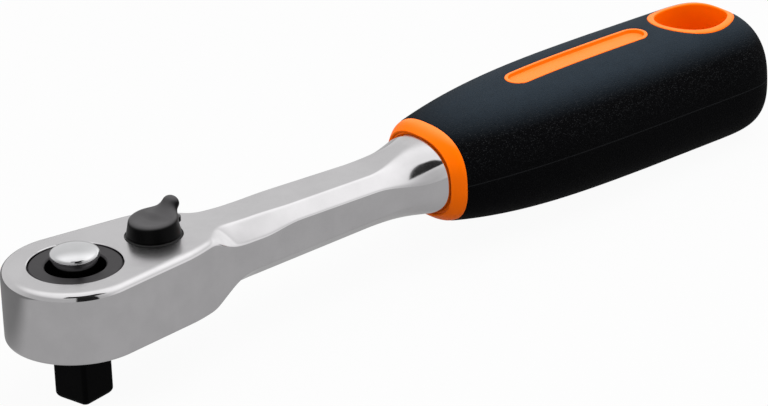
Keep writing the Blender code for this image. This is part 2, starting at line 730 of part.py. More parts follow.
def pawl_outline():
    """Rocker between gear and lever: two toothed wings, an arched back and a relieved middle."""
    pivot = Vector((PAWL_PIN_X, 0))
    tip_r = ROOT_R + MESH_GAP
    valley_r = GEAR_R + MESH_GAP
    slope = (0.5 - TOOTH_TIP_SHARE) / TOOTH_DEPTH
    arc_per_share = math.radians(PITCH) * GEAR_R
    flank = FLANK_GAP / arc_per_share * math.hypot(1, slope * arc_per_share)
    tip_half = max(TOOTH_TIP_SHARE / 2 + MESH_GAP * slope - flank, 0.02)
    valley_half = min(0.5 - TOOTH_TIP_SHARE / 2 + MESH_GAP * slope - flank, 0.46)
    level = Matrix.Rotation(math.radians(-PAWL_TILT), 2)

    def seated(radius, angle):
        """A point that meshes with the gear when this wing is in, turned back to the level pawl."""
        spot = Vector((radius * math.cos(math.radians(angle)), radius * math.sin(math.radians(angle))))
        return tuple(level @ (spot - pivot))

    wing = []
    for tooth in range(PAWL_FIRST_TOOTH, PAWL_FIRST_TOOTH + PAWL_TEETH):
        for share, radius in ((-valley_half, valley_r), (-tip_half, tip_r), (tip_half, tip_r), (valley_half, valley_r)):
            wing.append(seated(radius, (tooth + share) * PITCH))
    last = (PAWL_FIRST_TOOTH + PAWL_TEETH) * PITCH
    wing.append(seated(valley_r, last))
    back_end = last - PITCH
    back = arc(PAWL_BACK_R, -back_end, back_end, 18, (PAWL_BACK_CENTRE - PAWL_PIN_X, 0))
    relief_end = (PAWL_FIRST_TOOTH - 1) * PITCH
    relief = arc(PAWL_FRONT_X, relief_end, -relief_end, 8, (-PAWL_PIN_X, 0))
    other_wing = [(x, -y) for x, y in wing]
    return back + list(reversed(wing)) + relief + other_wing


def build_pawl(steel):
    bottom = COVER_TOP + SEAT_GAP
    top = CEILING - SEAT_GAP
    place = (PAWL_PIN_X, 0, 0)
    pawl = add_object("pawl", prism(pawl_outline(), bottom, top), steel, None, place, -PAWL_TILT)
    bore = cylinder(PAWL_PIN_R + RUN_GAP, bottom - PAWL_THICK, top + PAWL_THICK, steps=SMALL_STEPS)
    cut(pawl, add_object("pawl_bore", bore, None, None, place))
    pin = cylinder(PAWL_PIN_R, COVER_TOP - PAWL_PIN_FOOT, CEILING + PAWL_PIN_BITE, steps=SMALL_STEPS)
    add_object("pawl_pin", pin, steel, None, place)


# Selector lever

def clip_bottom():
    return COVER_SEAT + SEAT_GAP + CLIP_THICK


def tab_rings():
    """Thumb tab: soft rectangles that leave the base level, narrow, sweep up and end round."""
    root = LEVER_BOTTOM + LEVER_HEIGHT - TAB_THICK / 2
    straight = TAB_REACH - TAB_ROUND
    places = [mix(LEVER_EDGE, straight, i / 5) for i in range(6)]
    places += [straight + TAB_ROUND * math.sin(math.radians(CAP_SWEEP) * i / 5) for i in range(1, 6)]
    rings = []
    for x in places:
        t = x / TAB_REACH
        slope = math.atan2(2 * TAB_RISE * t, TAB_REACH)
        end = math.sqrt(1 - (max(x - straight, 0) / TAB_ROUND) ** 2)
        half_width = mix(TAB_ROOT_WIDTH, TAB_WIDTH, smooth(t)) / 2 * end
        half_thick = TAB_THICK / 2 * end
        ring = []
        for across, up in oval(half_width, half_thick, 2.6, SMALL_STEPS):
            ring.append((x - up * math.sin(slope), across, root + TAB_RISE * t * t + up * math.cos(slope)))
        rings.append(ring)
    return rings


def base_rings():
    """Round base of the lever: slightly conical sides, a soft edge and a top raked up to the tab."""
    edge = LEVER_HEIGHT - LEVER_EDGE
    rings = []
    for height, radius in ((0, LEVER_BASE_R), (edge, LEVER_TOP_R), (LEVER_HEIGHT, LEVER_TOP_R - LEVER_EDGE)):
        rake = LEVER_RAKE * height / LEVER_HEIGHT
        rings.append([(x, y, LEVER_BOTTOM + height + rake * x) for x, y in circle(radius, TURN_STEPS)])
    return rings


def build_lever(black, axis):
    """Spindle, round base with a raked top, heel and thumb tab, made about the lever's own axis."""
    groove_bottom = clip_bottom() - SEAL_GAP
    groove_top = clip_bottom() + CLIP_THICK + SEAL_GAP
    groove_r = SPINDLE_R - CLIP_DEPTH
    spindle = [
        (0, LEVER_BOTTOM + LEVER_HEIGHT / 2), (SPINDLE_R, LEVER_BOTTOM + LEVER_HEIGHT / 2),
        (SPINDLE_R, groove_top), (groove_r, groove_top), (groove_r, groove_bottom), (SPINDLE_R, groove_bottom),
        (SPINDLE_R, COVER_SEAT + SEAT_GAP), (0, COVER_SEAT + SEAT_GAP),
    ]
    lever = add_object("selector_lever", turned(spindle), black, axis)
    unite(lever, add_object("lever_base", loft(base_rings()), None, axis))
    unite(lever, add_object("lever_tab", loft(tab_rings()), None, axis))
    half = HEEL_WIDTH / 2
    heel = [(half, half), (half, -half)] + arc(half, -90, 90, 6, (HEEL_REACH - half, 0))
    heel_low = LEVER_BOTTOM + HEEL_UP
    unite(lever, add_object("lever_heel", prism(heel, heel_low, heel_low + HEEL_HEIGHT), None, axis))
    hole = lay_along_x(cylinder(PLUNGER_R + RUN_GAP, spring_seat(), SPINDLE_R * 2, steps=SMALL_STEPS), reverse=True)
    cut(lever, add_object("plunger_bore", hole, None, axis, (0, 0, PLUNGER_Z)))
    return lever


def spring_seat():
    """How far along the plunger's axis its bore ends: behind the spindle's own axis."""
    return PLUNGER_REACH - PLUNGER_LENGTH - SELECTOR_LENGTH - 2 * SEAT_GAP


def build_selector_parts(steel, spring_steel, rubber, axis):
    back = PLUNGER_REACH - PLUNGER_LENGTH
    steps = 6
    profile = []
    for i in range(steps + 1):
        a = math.pi / 2 * i / steps
        profile.append((PLUNGER_R * math.sin(a), PLUNGER_REACH - PLUNGER_R + PLUNGER_R * math.cos(a)))
    profile += [(PLUNGER_R, back), (0, back)]
    plunger = lay_along_x(turned(profile, SMALL_STEPS), reverse=True)
    add_object("selector_plunger", plunger, steel, axis, (0, 0, PLUNGER_Z))
    start = spring_seat() + SEAT_GAP
    spring = coil("selector_spring", SELECTOR_COIL_R, SELECTOR_WIRE, SELECTOR_TURNS, SELECTOR_LENGTH, spring_steel,
                  axis, (-start, 0, PLUNGER_Z))
    spring.rotation_euler.y = -math.pi / 2

    inner = SPINDLE_R - CLIP_DEPTH + SEAL_GAP
    end = 180 - CLIP_OPENING / 2
    outline = arc(inner + CLIP_WIDTH, -end, end, 24) + arc(inner, end, -end, 24)
    add_object("lever_clip", prism(outline, clip_bottom(), clip_bottom() + CLIP_THICK), spring_steel, axis)

    rim = LEVER_BASE_R + LEVER_SEAL_RIM
    inner = SPINDLE_R + SEAL_GAP
    ring = [(rim - LEVER_SEAL_THICK / 2, HEAD_TOP), (rim, HEAD_TOP - LEVER_SEAL_THICK / 2), (rim, LEVER_SEAL_BOTTOM),
            (inner, LEVER_SEAL_BOTTOM), (inner, HEAD_TOP)]
    add_object("lever_seal", turned(ring, closed=True), rubber, axis)


# Handle

def handle_rings(inset, swell_steps, cap_steps, front=()):
    """Oval sections of the handle: it swells from the collar and ends in a blunt round."""
    cap_start = HANDLE_END - GRIP_CAP
    stations = [(x, 1) for x in front]
    stations += [(mix(GRIP_X, GRIP_X + GRIP_SWELL, i / swell_steps), 1) for i in range(swell_steps + 1)]
    stations += [(cap_start, 1)]
    for i in range(1, cap_steps + 1):
        angle = math.radians(CAP_SWEEP) * i / cap_steps
        along = math.sin(angle) ** (2 / CAP_POWER)
        stations.append((cap_start + (GRIP_CAP - inset) * along, math.cos(angle) ** (2 / CAP_POWER)))
    rings = []
    for x, share in stations:
        slim = (1 - min(max((x - GRIP_X) / GRIP_SWELL, 0), 1)) ** 3
        half_width = (mix(GRIP_HALF_WIDTH, GRIP_FRONT_HALF_WIDTH, slim) - inset) * share
        half_height = (mix(GRIP_HALF_HEIGHT, GRIP_FRONT_HALF_HEIGHT, slim) - inset) * share
        rings.append([(x, y, AXIS_Z + z) for y, z in oval(half_width, half_height, GRIP_POWER)])
    return rings


def label_outline(inset):
    """Stadium of the label panel in plan."""
    half = LABEL_HALF_WIDTH - inset
    rear = EYE_X - EYE_HALF_LENGTH - LABEL_GAP - LABEL_HALF_WIDTH
    front = rear - LABEL_LENGTH + 2 * LABEL_HALF_WIDTH
    return arc(half, 90, 270, 10, (front, 0)) + arc(half, -90, 90, 10, (rear, 0))


def eye_outline(grow):
    """Oval of the hanging eye's rim in plan, grown or drawn in."""
    points = oval(EYE_HALF_LENGTH + grow, EYE_HALF_WIDTH + grow, 2, TURN_STEPS)
    return [(EYE_X + along, across) for along, across in points]


def outer_rings(inset=0.0):
    return handle_rings(inset, swell_steps=7, cap_steps=8)


def sleeve_rings(inset, front):
    """Plainer rings for the two hidden faces, where the grip lies round the core."""
    return handle_rings(inset, swell_steps=4, cap_steps=5, front=(front,))


def build_core(orange):
    """Hard core: collar, the sleeve in the grip, the label panel and the lined hanging eye."""
    front_w = FLARE_HALF_WIDTH + MOULD_GAP + COLLAR_LIP
    front_h = FLARE_HALF_HEIGHT + MOULD_GAP + COLLAR_LIP
    rings = []
    collar_steps = 6
    for i in range(collar_steps + 1):
        angle = math.pi / 2 * i / collar_steps
        x = COLLAR_X + COLLAR_LENGTH * i / collar_steps
        half_width = mix(front_w, GRIP_FRONT_HALF_WIDTH - COLLAR_STEP, math.sin(angle))
        half_height = mix(front_h, GRIP_FRONT_HALF_HEIGHT - COLLAR_STEP, math.sin(angle))
        rings.append([(x, y, AXIS_Z + z) for y, z in oval(half_width, half_height, GRIP_POWER)])
    rings += sleeve_rings(GRIP_WALL + MOULD_GAP, COLLAR_END)
    core = add_object("handle_core", loft(rings), orange)

    top = AXIS_Z + 2 * GRIP_HALF_HEIGHT
    low = AXIS_Z - 2 * GRIP_HALF_HEIGHT
    panel = add_object("label_form", prism(label_outline(0), AXIS_Z, top), None)
    combine(panel, add_object("label_limit", loft(outer_rings()), None), "INTERSECT")
    lining = add_object("eye_form", prism(eye_outline(0), low, top), None)
    combine(lining, add_object("eye_limit", loft(outer_rings()), None), "INTERSECT")
    unite(core, panel, lining)

    recess = add_object("label_recess", prism(label_outline(LABEL_RIM), AXIS_Z, top), None)
    cut(recess, add_object("label_floor", loft(outer_rings(LABEL_DEPTH)), None))
    cut(core, recess)
    cut(core, add_object("eye_hole", prism(eye_outline(-EYE_RIM), low, top), None))
    neck = oval(FLARE_HALF_WIDTH + MOULD_GAP, FLARE_HALF_HEIGHT + MOULD_GAP, GRIP_POWER)
    ends = (COLLAR_X - COLLAR_LENGTH, FLARE_END + MOULD_GAP)
    cut(core, add_object("neck_socket", loft([[(x, y, AXIS_Z + z) for y, z in neck] for x in ends]), None))
    cut(core, add_object("tang_socket", tang_form(MOULD_GAP), None))
    return core


def build_grip(rubber):
    """Soft outer shell, open in front, with windows for the label panel and the eye's lining."""
    grip = add_object("handle_grip", loft(outer_rings()), rubber)
    cut(grip, add_object("grip_inside", loft(sleeve_rings(GRIP_WALL, COLLAR_X)), None))
    top = AXIS_Z + 2 * GRIP_HALF_HEIGHT
    low = AXIS_Z - 2 * GRIP_HALF_HEIGHT
    cut(grip, add_object("label_window", prism(label_outline(-MOULD_GAP), AXIS_Z, top), None))
    cut(grip, add_object("eye_window", prism(eye_outline(MOULD_GAP), low, top), None))
    return grip


def main():
    for obj in list(bpy.data.objects):
        bpy.data.objects.remove(obj, do_unlink=True)

    chrome = make_material("chrome", (0.62, 0.62, 0.63), 0.18, 1.0)
    black_steel = make_material("black_steel", (0.03, 0.03, 0.032), 0.45, 0.8)
    bright_steel = make_material("bright_steel", (0.5, 0.5, 0.5), 0.35, 1.0)
    spring_steel = make_material("spring_steel", (0.35, 0.35, 0.36), 0.4, 1.0)
    black_plastic = make_material("black_plastic", (0.03, 0.03, 0.031), 0.5, 0.0)
    seal_rubber = make_material("seal_rubber", (0.05, 0.05, 0.052), 0.7, 0.0)
    orange_plastic = make_material("orange_plastic", (1.0, 0.19, 0.0), 0.4, 0.0)
    grip_rubber = make_material("grip_rubber", (0.012, 0.014, 0.017), 0.55, 0.0)

    drive_axis = add_axis("drive_axis", (0, 0, 0), DRIVE_TURN)
    lever_axis = add_axis("lever_axis", (LEVER_X, 0, 0), LEVER_SWING)

    build_body(chrome)
    build_cover(bright_steel)
    build_screws(black_steel)
    build_gear(black_steel, drive_axis)
    build_gear_seals(seal_rubber, bright_steel, drive_axis)
    build_button(chrome, drive_axis)
    build_release_spring(spring_steel, drive_axis)
    build_ball(bright_steel, drive_axis)
    build_pawl(black_steel)
    build_lever(black_plastic, lever_axis)
    build_selector_parts(bright_steel, spring_steel, seal_rubber, lever_axis)
    build_core(orange_plastic)
    build_grip(grip_rubber)


main()
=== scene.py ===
"""Looks of the reversible ratchet: fine surfaces, finishes and a studio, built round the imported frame."""

import json
import math

import bmesh
import bpy
import numpy as np
from bpy.props import FloatProperty, FloatVectorProperty, PointerProperty
from mathutils import Matrix, Vector


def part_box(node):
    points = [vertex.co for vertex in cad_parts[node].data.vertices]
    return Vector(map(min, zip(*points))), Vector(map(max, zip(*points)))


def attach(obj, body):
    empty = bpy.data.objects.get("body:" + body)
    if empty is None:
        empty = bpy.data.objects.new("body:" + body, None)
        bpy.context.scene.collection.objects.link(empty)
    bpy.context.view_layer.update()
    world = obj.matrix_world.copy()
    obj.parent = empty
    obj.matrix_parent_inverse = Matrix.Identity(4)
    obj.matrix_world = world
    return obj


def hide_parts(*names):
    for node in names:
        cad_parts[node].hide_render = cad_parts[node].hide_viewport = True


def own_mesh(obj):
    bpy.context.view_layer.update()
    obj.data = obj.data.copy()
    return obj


bl_info = {
    "name": "Reversible ratchet",
    "version": (1, 0, 0),
    "blender": (4, 5, 0),
    "location": "3D View > Sidebar > Ratchet",
    "description": "Builds the looks of a reversible ratchet round its CAD frame",
    "category": "Object",
}

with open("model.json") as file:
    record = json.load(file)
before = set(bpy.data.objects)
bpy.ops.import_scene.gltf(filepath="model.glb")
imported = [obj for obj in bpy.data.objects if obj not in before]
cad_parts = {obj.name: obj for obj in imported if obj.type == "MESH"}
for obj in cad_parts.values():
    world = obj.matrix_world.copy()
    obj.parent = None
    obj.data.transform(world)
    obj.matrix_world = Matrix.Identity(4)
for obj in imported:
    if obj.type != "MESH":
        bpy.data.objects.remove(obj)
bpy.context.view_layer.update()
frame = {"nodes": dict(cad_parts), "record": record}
BODY_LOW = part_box("ratchet_body")[0]
COVER_LOW, COVER_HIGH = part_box("cover_plate")
GEAR_LOW, GEAR_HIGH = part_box("drive_gear")
BUTTON_LOW, BUTTON_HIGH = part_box("release_button")
SPRING_LOW, SPRING_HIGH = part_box("release_spring")
SEAL_LOW, SEAL_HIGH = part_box("lever_seal")
CORE_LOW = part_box("handle_core")[0]
GRIP_LOW, GRIP_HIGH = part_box("handle_grip")
AXIS_Z = (GRIP_LOW.z + GRIP_HIGH.z) / 2
HEAD_TOP = SEAL_HIGH.z
HEAD_BOTTOM = COVER_LOW.z
LEVER_X = (SEAL_LOW.x + SEAL_HIGH.x) / 2
TEETH = 72

# Faces that meet at more than this angle keep a sharp edge
SHARP_ANGLE = math.radians(38.0)
# Points nearer than this are one point
MERGE_DISTANCE = 1e-7
# Stretches of the ramp over which its top falls and its slanted face widens, deepens and flattens
RAMP_FALL = (0.25, 1.0)
RAMP_WIDEN = (0.3, 0.75)
RAMP_DEEPEN = (0.2, 0.85)
RAMP_SLANT = (0.3, 0.7)
# Share of a plain parabola in the flare's curve
FLARE_BEND = 0.35
# Flat tip and slanted flank of a tooth, as shares of the pitch
TOOTH_TIP = 0.08
TOOTH_FLANK = 0.34
# Shares of its bore and of the cover's height that the lever's spindle takes up
SPINDLE_FIT = 0.96
SPINDLE_END = 1.04
# Rays that find the lever's skin, from pole to pole and round, and the steps that each takes
LEVER_RAYS = (150, 240)
LEVER_STEPS = 50
# Share of the flare at which the collar's hidden inside ends
COLLAR_INSIDE = 0.8
# How much rougher satin faces are
SATIN = 0.17
# Share of the floor's own white in what the metal sees of it
FLOOR_IN_METAL = 0.8
# Where a painted shadow darkens the floor behind the head in the metal, along y, and where that ends, along x
PAINTED_SHADOW_Y = (0.02, 0.05)
PAINTED_SHADOW_X = (0.05, 0.1)
# Cosines and sines between which the bright parts of the studio walls begin and end
BACK_WALL = (0.2, -0.7)
CEILING = (0.55, 0.95)
RIGHT_WALL_SIDE = (0.2, 0.8)
RIGHT_WALL_RISE = (0.2, 0.7)
LOW_PANEL_SIDE = (0.4, 0.8)
LOW_PANEL_FOOT = (0.02, 0.12)
LOW_PANEL_TOP = (0.3, 0.45)
# Soft edge of the dark gap and the dark seam, and how dark they are
GAP_SOFT = 0.02
GAP_DARK = 0.97
# Places and sizes of the lamps
OVERHEAD_LAMP = (0.18, -0.22, 0.75), (0.8, 0.6)
SIDE_LAMP = (-0.75, 0.25, 0.35), (0.5, 0.5)


# Settings

def length(name, description, default):
    """Length property in metres."""
    return FloatProperty(name=name, description=description, default=default, unit="LENGTH", precision=5)


def number(name, description, default):
    """Plain number property."""
    return FloatProperty(name=name, description=description, default=default, precision=4)


def angle(name, description, degrees):
    """Angle property, given in degrees and kept in radians."""
    return FloatProperty(name=name, description=description, default=math.radians(degrees), subtype="ANGLE")


def colour(name, description, default):
    """Linear colour property."""
    return FloatVectorProperty(
        name=name, description=description, default=default, subtype="COLOR", min=0, max=1
    )


class RatchetBodySizes(bpy.types.PropertyGroup):
    """Sizes of the forged body's outside and of the seats in its head."""

    nose_radius: length("Nose radius", "Round nose of the head", -BODY_LOW.x)
    rear_x: length("Head rear", "Where the head's straight flanks would end", 0.0284952)
    rear_half_width: length("Rear half width", "Half width of the head at its rear", 0.0129952)
    ramp_lead: length("Ramp lead", "How far before the head's rear the ramp begins", 0.008)
    ramp_length: length("Ramp length", "From the head's rear to the shank", 0.0165)
    top_fillet: length("Top fillet", "Round edge of the head's top", 0.0021)
    bottom_fillet: length("Bottom fillet", "Round edge of the head's underside", 0.001)
    shank_length: length("Shank length", "Eight-sided stretch", 0.0332)
    shank_half_width: length("Shank half width", "At its front end", 0.0081)
    shank_half_height: length("Shank half height", "At its front end", 0.0071)
    shank_taper: length("Shank taper", "How much slimmer each half is at the rear", 0.0007)
    shank_chamfer: length("Shank chamfer", "Width and height of each slanted face", 0.003)
    edge_soft: number("Soft edges", "Share of a slanted face that its rounded edges take up", 0.12)
    chamfer_drop: length("Chamfer drop", "How much taller each slanted face is where it starts", 0.0013)
    chamfer_spread: length("Chamfer spread", "How much wider each slanted face is where it starts", 0.0005)
    chamfer_fade: length("Chamfer fade", "Stretch of shank over which that height goes", 0.011)
    flare_length: length("Flare length", "From the shank to the collar seat", 0.0182)
    flare_half_width: length("Flare half width", "At the collar seat", 0.0111)
    flare_half_height: length("Flare half height", "At the collar seat", 0.009)
    flare_flat: length("Flare flat", "What is left of the flat faces at the collar seat", 0.0003)
    round_power: number("Round power", "Superellipse power of the round edges and of the collar seat", 2.2)
    hub_hole_radius: length("Hub hole radius", "Hole round the gear's hub", 0.010695)
    gear_bore_radius: length("Gear bore radius", "Bore for the gear, from below", 0.011995)
    ceiling: length("Ceiling", "Height of the gear bore's end", 0.029)
    lever_bore_radius: length("Lever bore radius", "Bore for the lever's spindle", 0.00395)
    seal_seat_radius: length("Seal seat radius", "Shallow seat of the lever's seal", 0.00645)
    seal_seat_depth: length("Seal seat depth", "Depth of that seat", 0.001)
    hole_chamfer: length("Hole chamfer", "Broken edge of each hole in the top", 0.00018)
    cover_inset: length("Cover inset", "From the nose to the edge of the cover's recess", 0.0015)
    cover_seat: length("Cover seat", "Height of the recess", 0.0176)
    cover_tail: length("Cover tail", "End of the recess behind the lever's axis", 0.0064)
    cover_corner: length("Cover corner", "Corner radius of the recess", 0.0032)


class RatchetDriveSizes(bpy.types.PropertyGroup):
    """Sizes of the drive: hub, gear and square."""

    drive_turn: angle("Drive turn", "Turn of the square at rest", 12.5)
    bore_low: length("Bore low", "End of the stem's bore", 0.0016)
    bore_radius: length("Bore radius", "Bore for the button's stem", 0.0021525)
    well_floor: length("Well floor", "Floor of the button's well", 0.0278)
    well_radius: length("Well radius", "Button's well", 0.00685)
    hub_radius: length("Hub radius", "Outside of the hub", 0.0104952)
    hub_edge: length("Hub edge", "Broken edges of the hub", 0.0003)
    gear_radius: length("Gear radius", "Tips of the teeth", 0.0116952)
    tooth_depth: length("Tooth depth", "Depth of the teeth", 0.00062)
    gear_top: length("Gear top", "Upper end of the teeth", 0.0287)
    gear_low: length("Gear low", "Lower end of the teeth", 0.0185)
    shoulder_radius: length("Shoulder radius", "Round shoulder above the square", 0.0081952)
    shoulder_low: length("Shoulder low", "Lower end of the shoulder", 0.0118)
    square_half: length("Half square", "Half the width of the square", 0.0047625)
    square_corner: length("Square corner", "Round corners of the square", 0.001)
    end_round: length("End rounding", "Rounding of the square's end", 0.0016)
    ball_height: length("Ball height", "Height of the detent ball", 0.0052)
    ball_bore: length("Ball bore", "Radius of the ball's bore", 0.00175)
    ball_mouth: length("Ball mouth", "Radius of that bore at the square's face", 0.00137)
    ball_lip: length("Ball lip", "Depth of the lip that keeps the ball in", 0.00035)


class RatchetLeverSizes(bpy.types.PropertyGroup):
    """Sizes of the button, of its spring and of the reversing lever."""

    button_radius: length("Button radius", "Widest part of the button", BUTTON_HIGH.y)
    button_dome: length("Button dome", "Rise of the dome above its rim", 0.0015)
    button_edge: length("Button edge", "Upright edge below the dome", 0.0008)
    skirt_inset: length("Skirt inset", "From the button's edge to its skirt", 0.00035)
    skirt_low: length("Skirt low", "Height of the skirt's end", 0.0305)
    skirt_wall: length("Skirt wall", "Thickness of the skirt round the spring", 0.0008)
    crown: length("Crown", "Thickness of the button below its edge", 0.0007)
    stem_radius: length("Stem radius", "Stem of the button", 0.0019525)
    neck_radius: length("Neck radius", "Neck of the stem that lets the ball in", 0.0012525)
    neck_height: length("Neck height", "Height of that neck", 0.008)
    button_travel: length("Button travel", "How far the button goes in", 0.0024)
    spring_wire: length("Spring wire", "Radius of the spring's wire", 0.0004)
    spring_turns: number("Spring turns", "Turns of the spring", 3.0)
    base_radius: length("Base radius", "Foot of the lever's round base", 0.0062)
    top_radius: length("Top radius", "Top of the lever's round base", 0.0054)
    base_low: length("Base low", "Height of the lever's foot", 0.0325)
    base_height: length("Base height", "From the foot to the base's top", 0.0042)
    edge: length("Edge", "Rounding of the lever's lower edges", 0.0006)
    top_edge: length("Top edge", "Rounding of the base's top", 0.0009)
    dish: length("Dish", "Depth of the dished top", 0.0004)
    rake: number("Rake", "Rise of the base's top for each unit of reach", 0.06)
    swing: angle("Swing", "Lever's turn to the far side at rest", 11.0)
    tab_x: length("Tab reach", "From the lever's axis to the middle of the tab's end", 0.0059)
    tab_rise: length("Tab rise", "How far that middle lies above the tab's root", 0.0025)
    tab_root_width: length("Tab root width", "Width of the tab at its root", 0.006)
    tab_width: length("Tab width", "Width of the tab at its end", 0.0041)
    tab_thick: length("Tab thickness", "Thickness of the tab at its root", 0.0027)
    tab_end_thick: length("Tab end thickness", "Thickness of the tab at its end", 0.0035)
    fillet: length("Fillet", "Fillet between the tab and the base", 0.0016)
    heel_reach: length("Heel reach", "From the lever's axis to the heel's end", 0.0083)
    heel_half_width: length("Heel half width", "Half width of the heel", 0.0013)
    heel_up: length("Heel up", "From the lever's foot to the heel", 0.0003)
    heel_height: length("Heel height", "Height of the heel", 0.0017)
    seal_gap: length("Seal gap", "Room round the sealing ring in its seat", 0.0001)


class RatchetHandleSizes(bpy.types.PropertyGroup):
    """Sizes of the collar, the label panel, the hanging eye and the grip."""

    collar_x: length("Collar front", "Front edge of the collar", CORE_LOW.x + 0.0011)
    collar_length: length("Collar length", "Length of the collar", 0.0033)
    collar_lip: length("Collar lip", "Roll of the collar's front edge", 0.0005)
    collar_gap: length("Collar gap", "From the flare to the collar", 0.00012)
    collar_step: length("Collar step", "How far the collar lies below the grip", 0.0001)
    front_x: length("Grip front", "Front edge of the grip", GRIP_LOW.x - 0.0003)
    end_x: length("Handle end", "End of the handle on its axis", GRIP_HIGH.x)
    front_half_width: length("Front half width", "Half width of the grip's front", 0.01365)
    front_half_height: length("Front half height", "Half height of the grip's front", 0.0116)
    half_width: length("Half width", "Half width of the grip's belly", GRIP_HIGH.y)
    half_height: length("Half height", "Half height of the grip's belly", (GRIP_HIGH.z - GRIP_LOW.z) / 2)
    power: number("Power", "Superellipse power of the handle's section", 2.55)
    swell: length("Swell", "Stretch over which the grip swells", 0.057)
    tail: length("Tail", "How much slimmer each half is at the handle's end", 0.0003)
    cap: length("Cap", "Length of the blunt end", 0.0188)
    cap_power: number("Cap power", "Superellipse power of the blunt end", 4.8)
    wall: length("Wall", "Thickness of the soft shell", 0.0026)
    seam: length("Seam", "How far the soft shell dips beside the hard core", 0.00014)
    label_length: length("Label length", "Label panel", 0.0424)
    label_half_width: length("Label half width", "Half width of the label panel", 0.0036)
    label_rim: length("Label rim", "Width of its rim", 0.0009)
    label_depth: length("Label depth", "Depth of its bare floor", 0.0009)
    label_gap: length("Label gap", "From the label panel to the eye's rim", 0.0039)
    eye_back: length("Eye back", "From the handle's end to the eye", 0.0137)
    eye_half_length: length("Eye half length", "Outside of the eye's lining", 0.0111)
    eye_half_width: length("Eye half width", "Outside of the eye's lining", 0.00965)
    eye_rim: length("Eye rim", "Width of the eye's rim", 0.0018)


class RatchetFinishes(bpy.types.PropertyGroup):
    """Colours of the finishes."""

    chrome: colour("Chrome", "Plated forging", (0.62, 0.61, 0.62))
    button_chrome: colour("Button chrome", "Polished button", (0.66, 0.66, 0.67))
    bright_steel: colour("Bright steel", "Ground steel", (0.50, 0.50, 0.50))
    black_steel: colour("Black steel", "Blacked steel", (0.0012, 0.0012, 0.0013))
    hub_steel: colour("Hub steel", "Top of the gear's hub", (0.062, 0.059, 0.062))
    spring_steel: colour("Spring steel", "Drawn wire", (0.35, 0.35, 0.36))
    black_plastic: colour("Black plastic", "Moulded lever", (0.001, 0.001, 0.0011))
    painted_sheen_plastic: colour("Rubbed plastic", "Top of the lever", (0.068, 0.066, 0.068))
    # Painted sheen: grey colour on the lever's upward faces, standing in for light from above
    seal_rubber: colour("Seal rubber", "Sealing rings", (0.004, 0.004, 0.0042))
    orange_plastic: colour("Orange plastic", "Hard core of the handle", (1.0, 0.155, 0.0))
    # Painted sheen: paler orange on the hard core's upward faces, standing in for light from above
    orange_painted_sheen: colour("Pale orange", "Top of the hard core", (1.0, 0.222, 0.041))
    grip_rubber: colour("Grip rubber", "Soft shell of the handle", (0.0014, 0.0014, 0.0018))
    # Painted sheen: bluish grey on the soft shell's top, standing in for light from above
    grip_painted_sheen: colour("Grip sheen", "Rubbed top of the soft shell", (0.0188, 0.0268, 0.0358))
    # Painted glints on the pebbles' peaks, and the colour of the lighter parting line
    grip_painted_glint_and_line: colour("Grip glint", "Peaks of the pebbled shell and its parting line", (0.06, 0.063, 0.068))


class RatchetStageSettings(bpy.types.PropertyGroup):
    """Camera, floor and light."""

    azimuth: angle("Azimuth", "Camera's turn about the upright axis", -37.70)
    elevation: angle("Elevation", "Camera's height above the horizon", 24.60)
    roll: angle("Roll", "Camera's turn about its own axis", -2.385)
    distance: length("Distance", "Camera to the point it looks at", 1.0)
    aim_x: length("Aim X", "Point that the camera looks at", 0.07989)
    aim_y: length("Aim Y", "Point that the camera looks at", -0.00747)
    aim_z: length("Aim Z", "Point that the camera looks at", 0.02392)
    lens: number("Lens", "Focal length in millimetres", 205.98)
    floor_size: length("Floor size", "Half side of the floor", 4.0)
    floor_grey: number("Floor grey", "Colour of the floor as the lamps light it", 0.42)
    floor_white: number("Floor white", "How white the floor is to the camera", 0.95)
    floor_mirror: number("Floor in metal", "How white the floor is in the metal", 0.5)
    # Painted shadow of the head: how white the floor behind the head is, as the metal sees it
    floor_painted_shadow: number("Floor behind", "How white it is there behind the head", 0.14)
    sky: number("Sky", "Brightness of the studio walls", 0.62)
    sky_behind: number("Sky behind", "What the wall behind the object adds", 0.2)
    sky_overhead: number("Sky overhead", "What the ceiling adds", 0.6)
    sky_right: number("Sky right", "What the right wall adds", 0.6)
    sky_low: number("Sky low", "What a low panel on the right adds", 0.45)
    gap_turn: angle("Gap turn", "From the camera to the middle of the dark gap beside it", 19.0)
    gap_width: number("Gap width", "Tangent of half that dark gap", 0.3)
    seam_width: number("Seam width", "Tangent of half the dark seam above it", 0.88)
    seam_low: number("Seam low", "Sine of the seam's lower edge", 0.75)
    seam_high: number("Seam high", "Sine of the seam's upper edge", 0.93)
    key_power: number("Key power", "Watts of the overhead lamp", 5.0)
    rim_power: number("Rim power", "Watts of the side lamp", 2.0)


GROUPS = {
    "ratchet_body": RatchetBodySizes,
    "ratchet_drive": RatchetDriveSizes,
    "ratchet_lever": RatchetLeverSizes,
    "ratchet_handle": RatchetHandleSizes,
    "ratchet_finish": RatchetFinishes,
    "ratchet_stage": RatchetStageSettings,
}


# Surfaces

def mix(a, b, t):
    """From a to b in step with t."""
    return a + (b - a) * t


def smooth(t):
    """Cubic step from 0 to 1, level at both ends."""
    t = np.clip(t, 0, 1)
    return t * t * (3 - 2 * t)


def step_over(t, stretch):
    """Cubic step over a stretch of t."""
    low, high = stretch
    return smooth((t - low) / (high - low))


def stack(*columns):
    """Coordinates of equal or fitting shape as one array of points."""
    return np.stack(np.broadcast_arrays(*columns), axis=-1)


def signed_power(value, power):
    """Power of a value's size, with the value's sign."""
    return np.sign(value) * np.abs(value) ** power


def shade(piece):
    """Smooth faces, with sharp edges where they meet at a steep angle."""
    piece.data.shade_smooth()
    piece.data.set_sharp_from_angle(angle=SHARP_ANGLE)


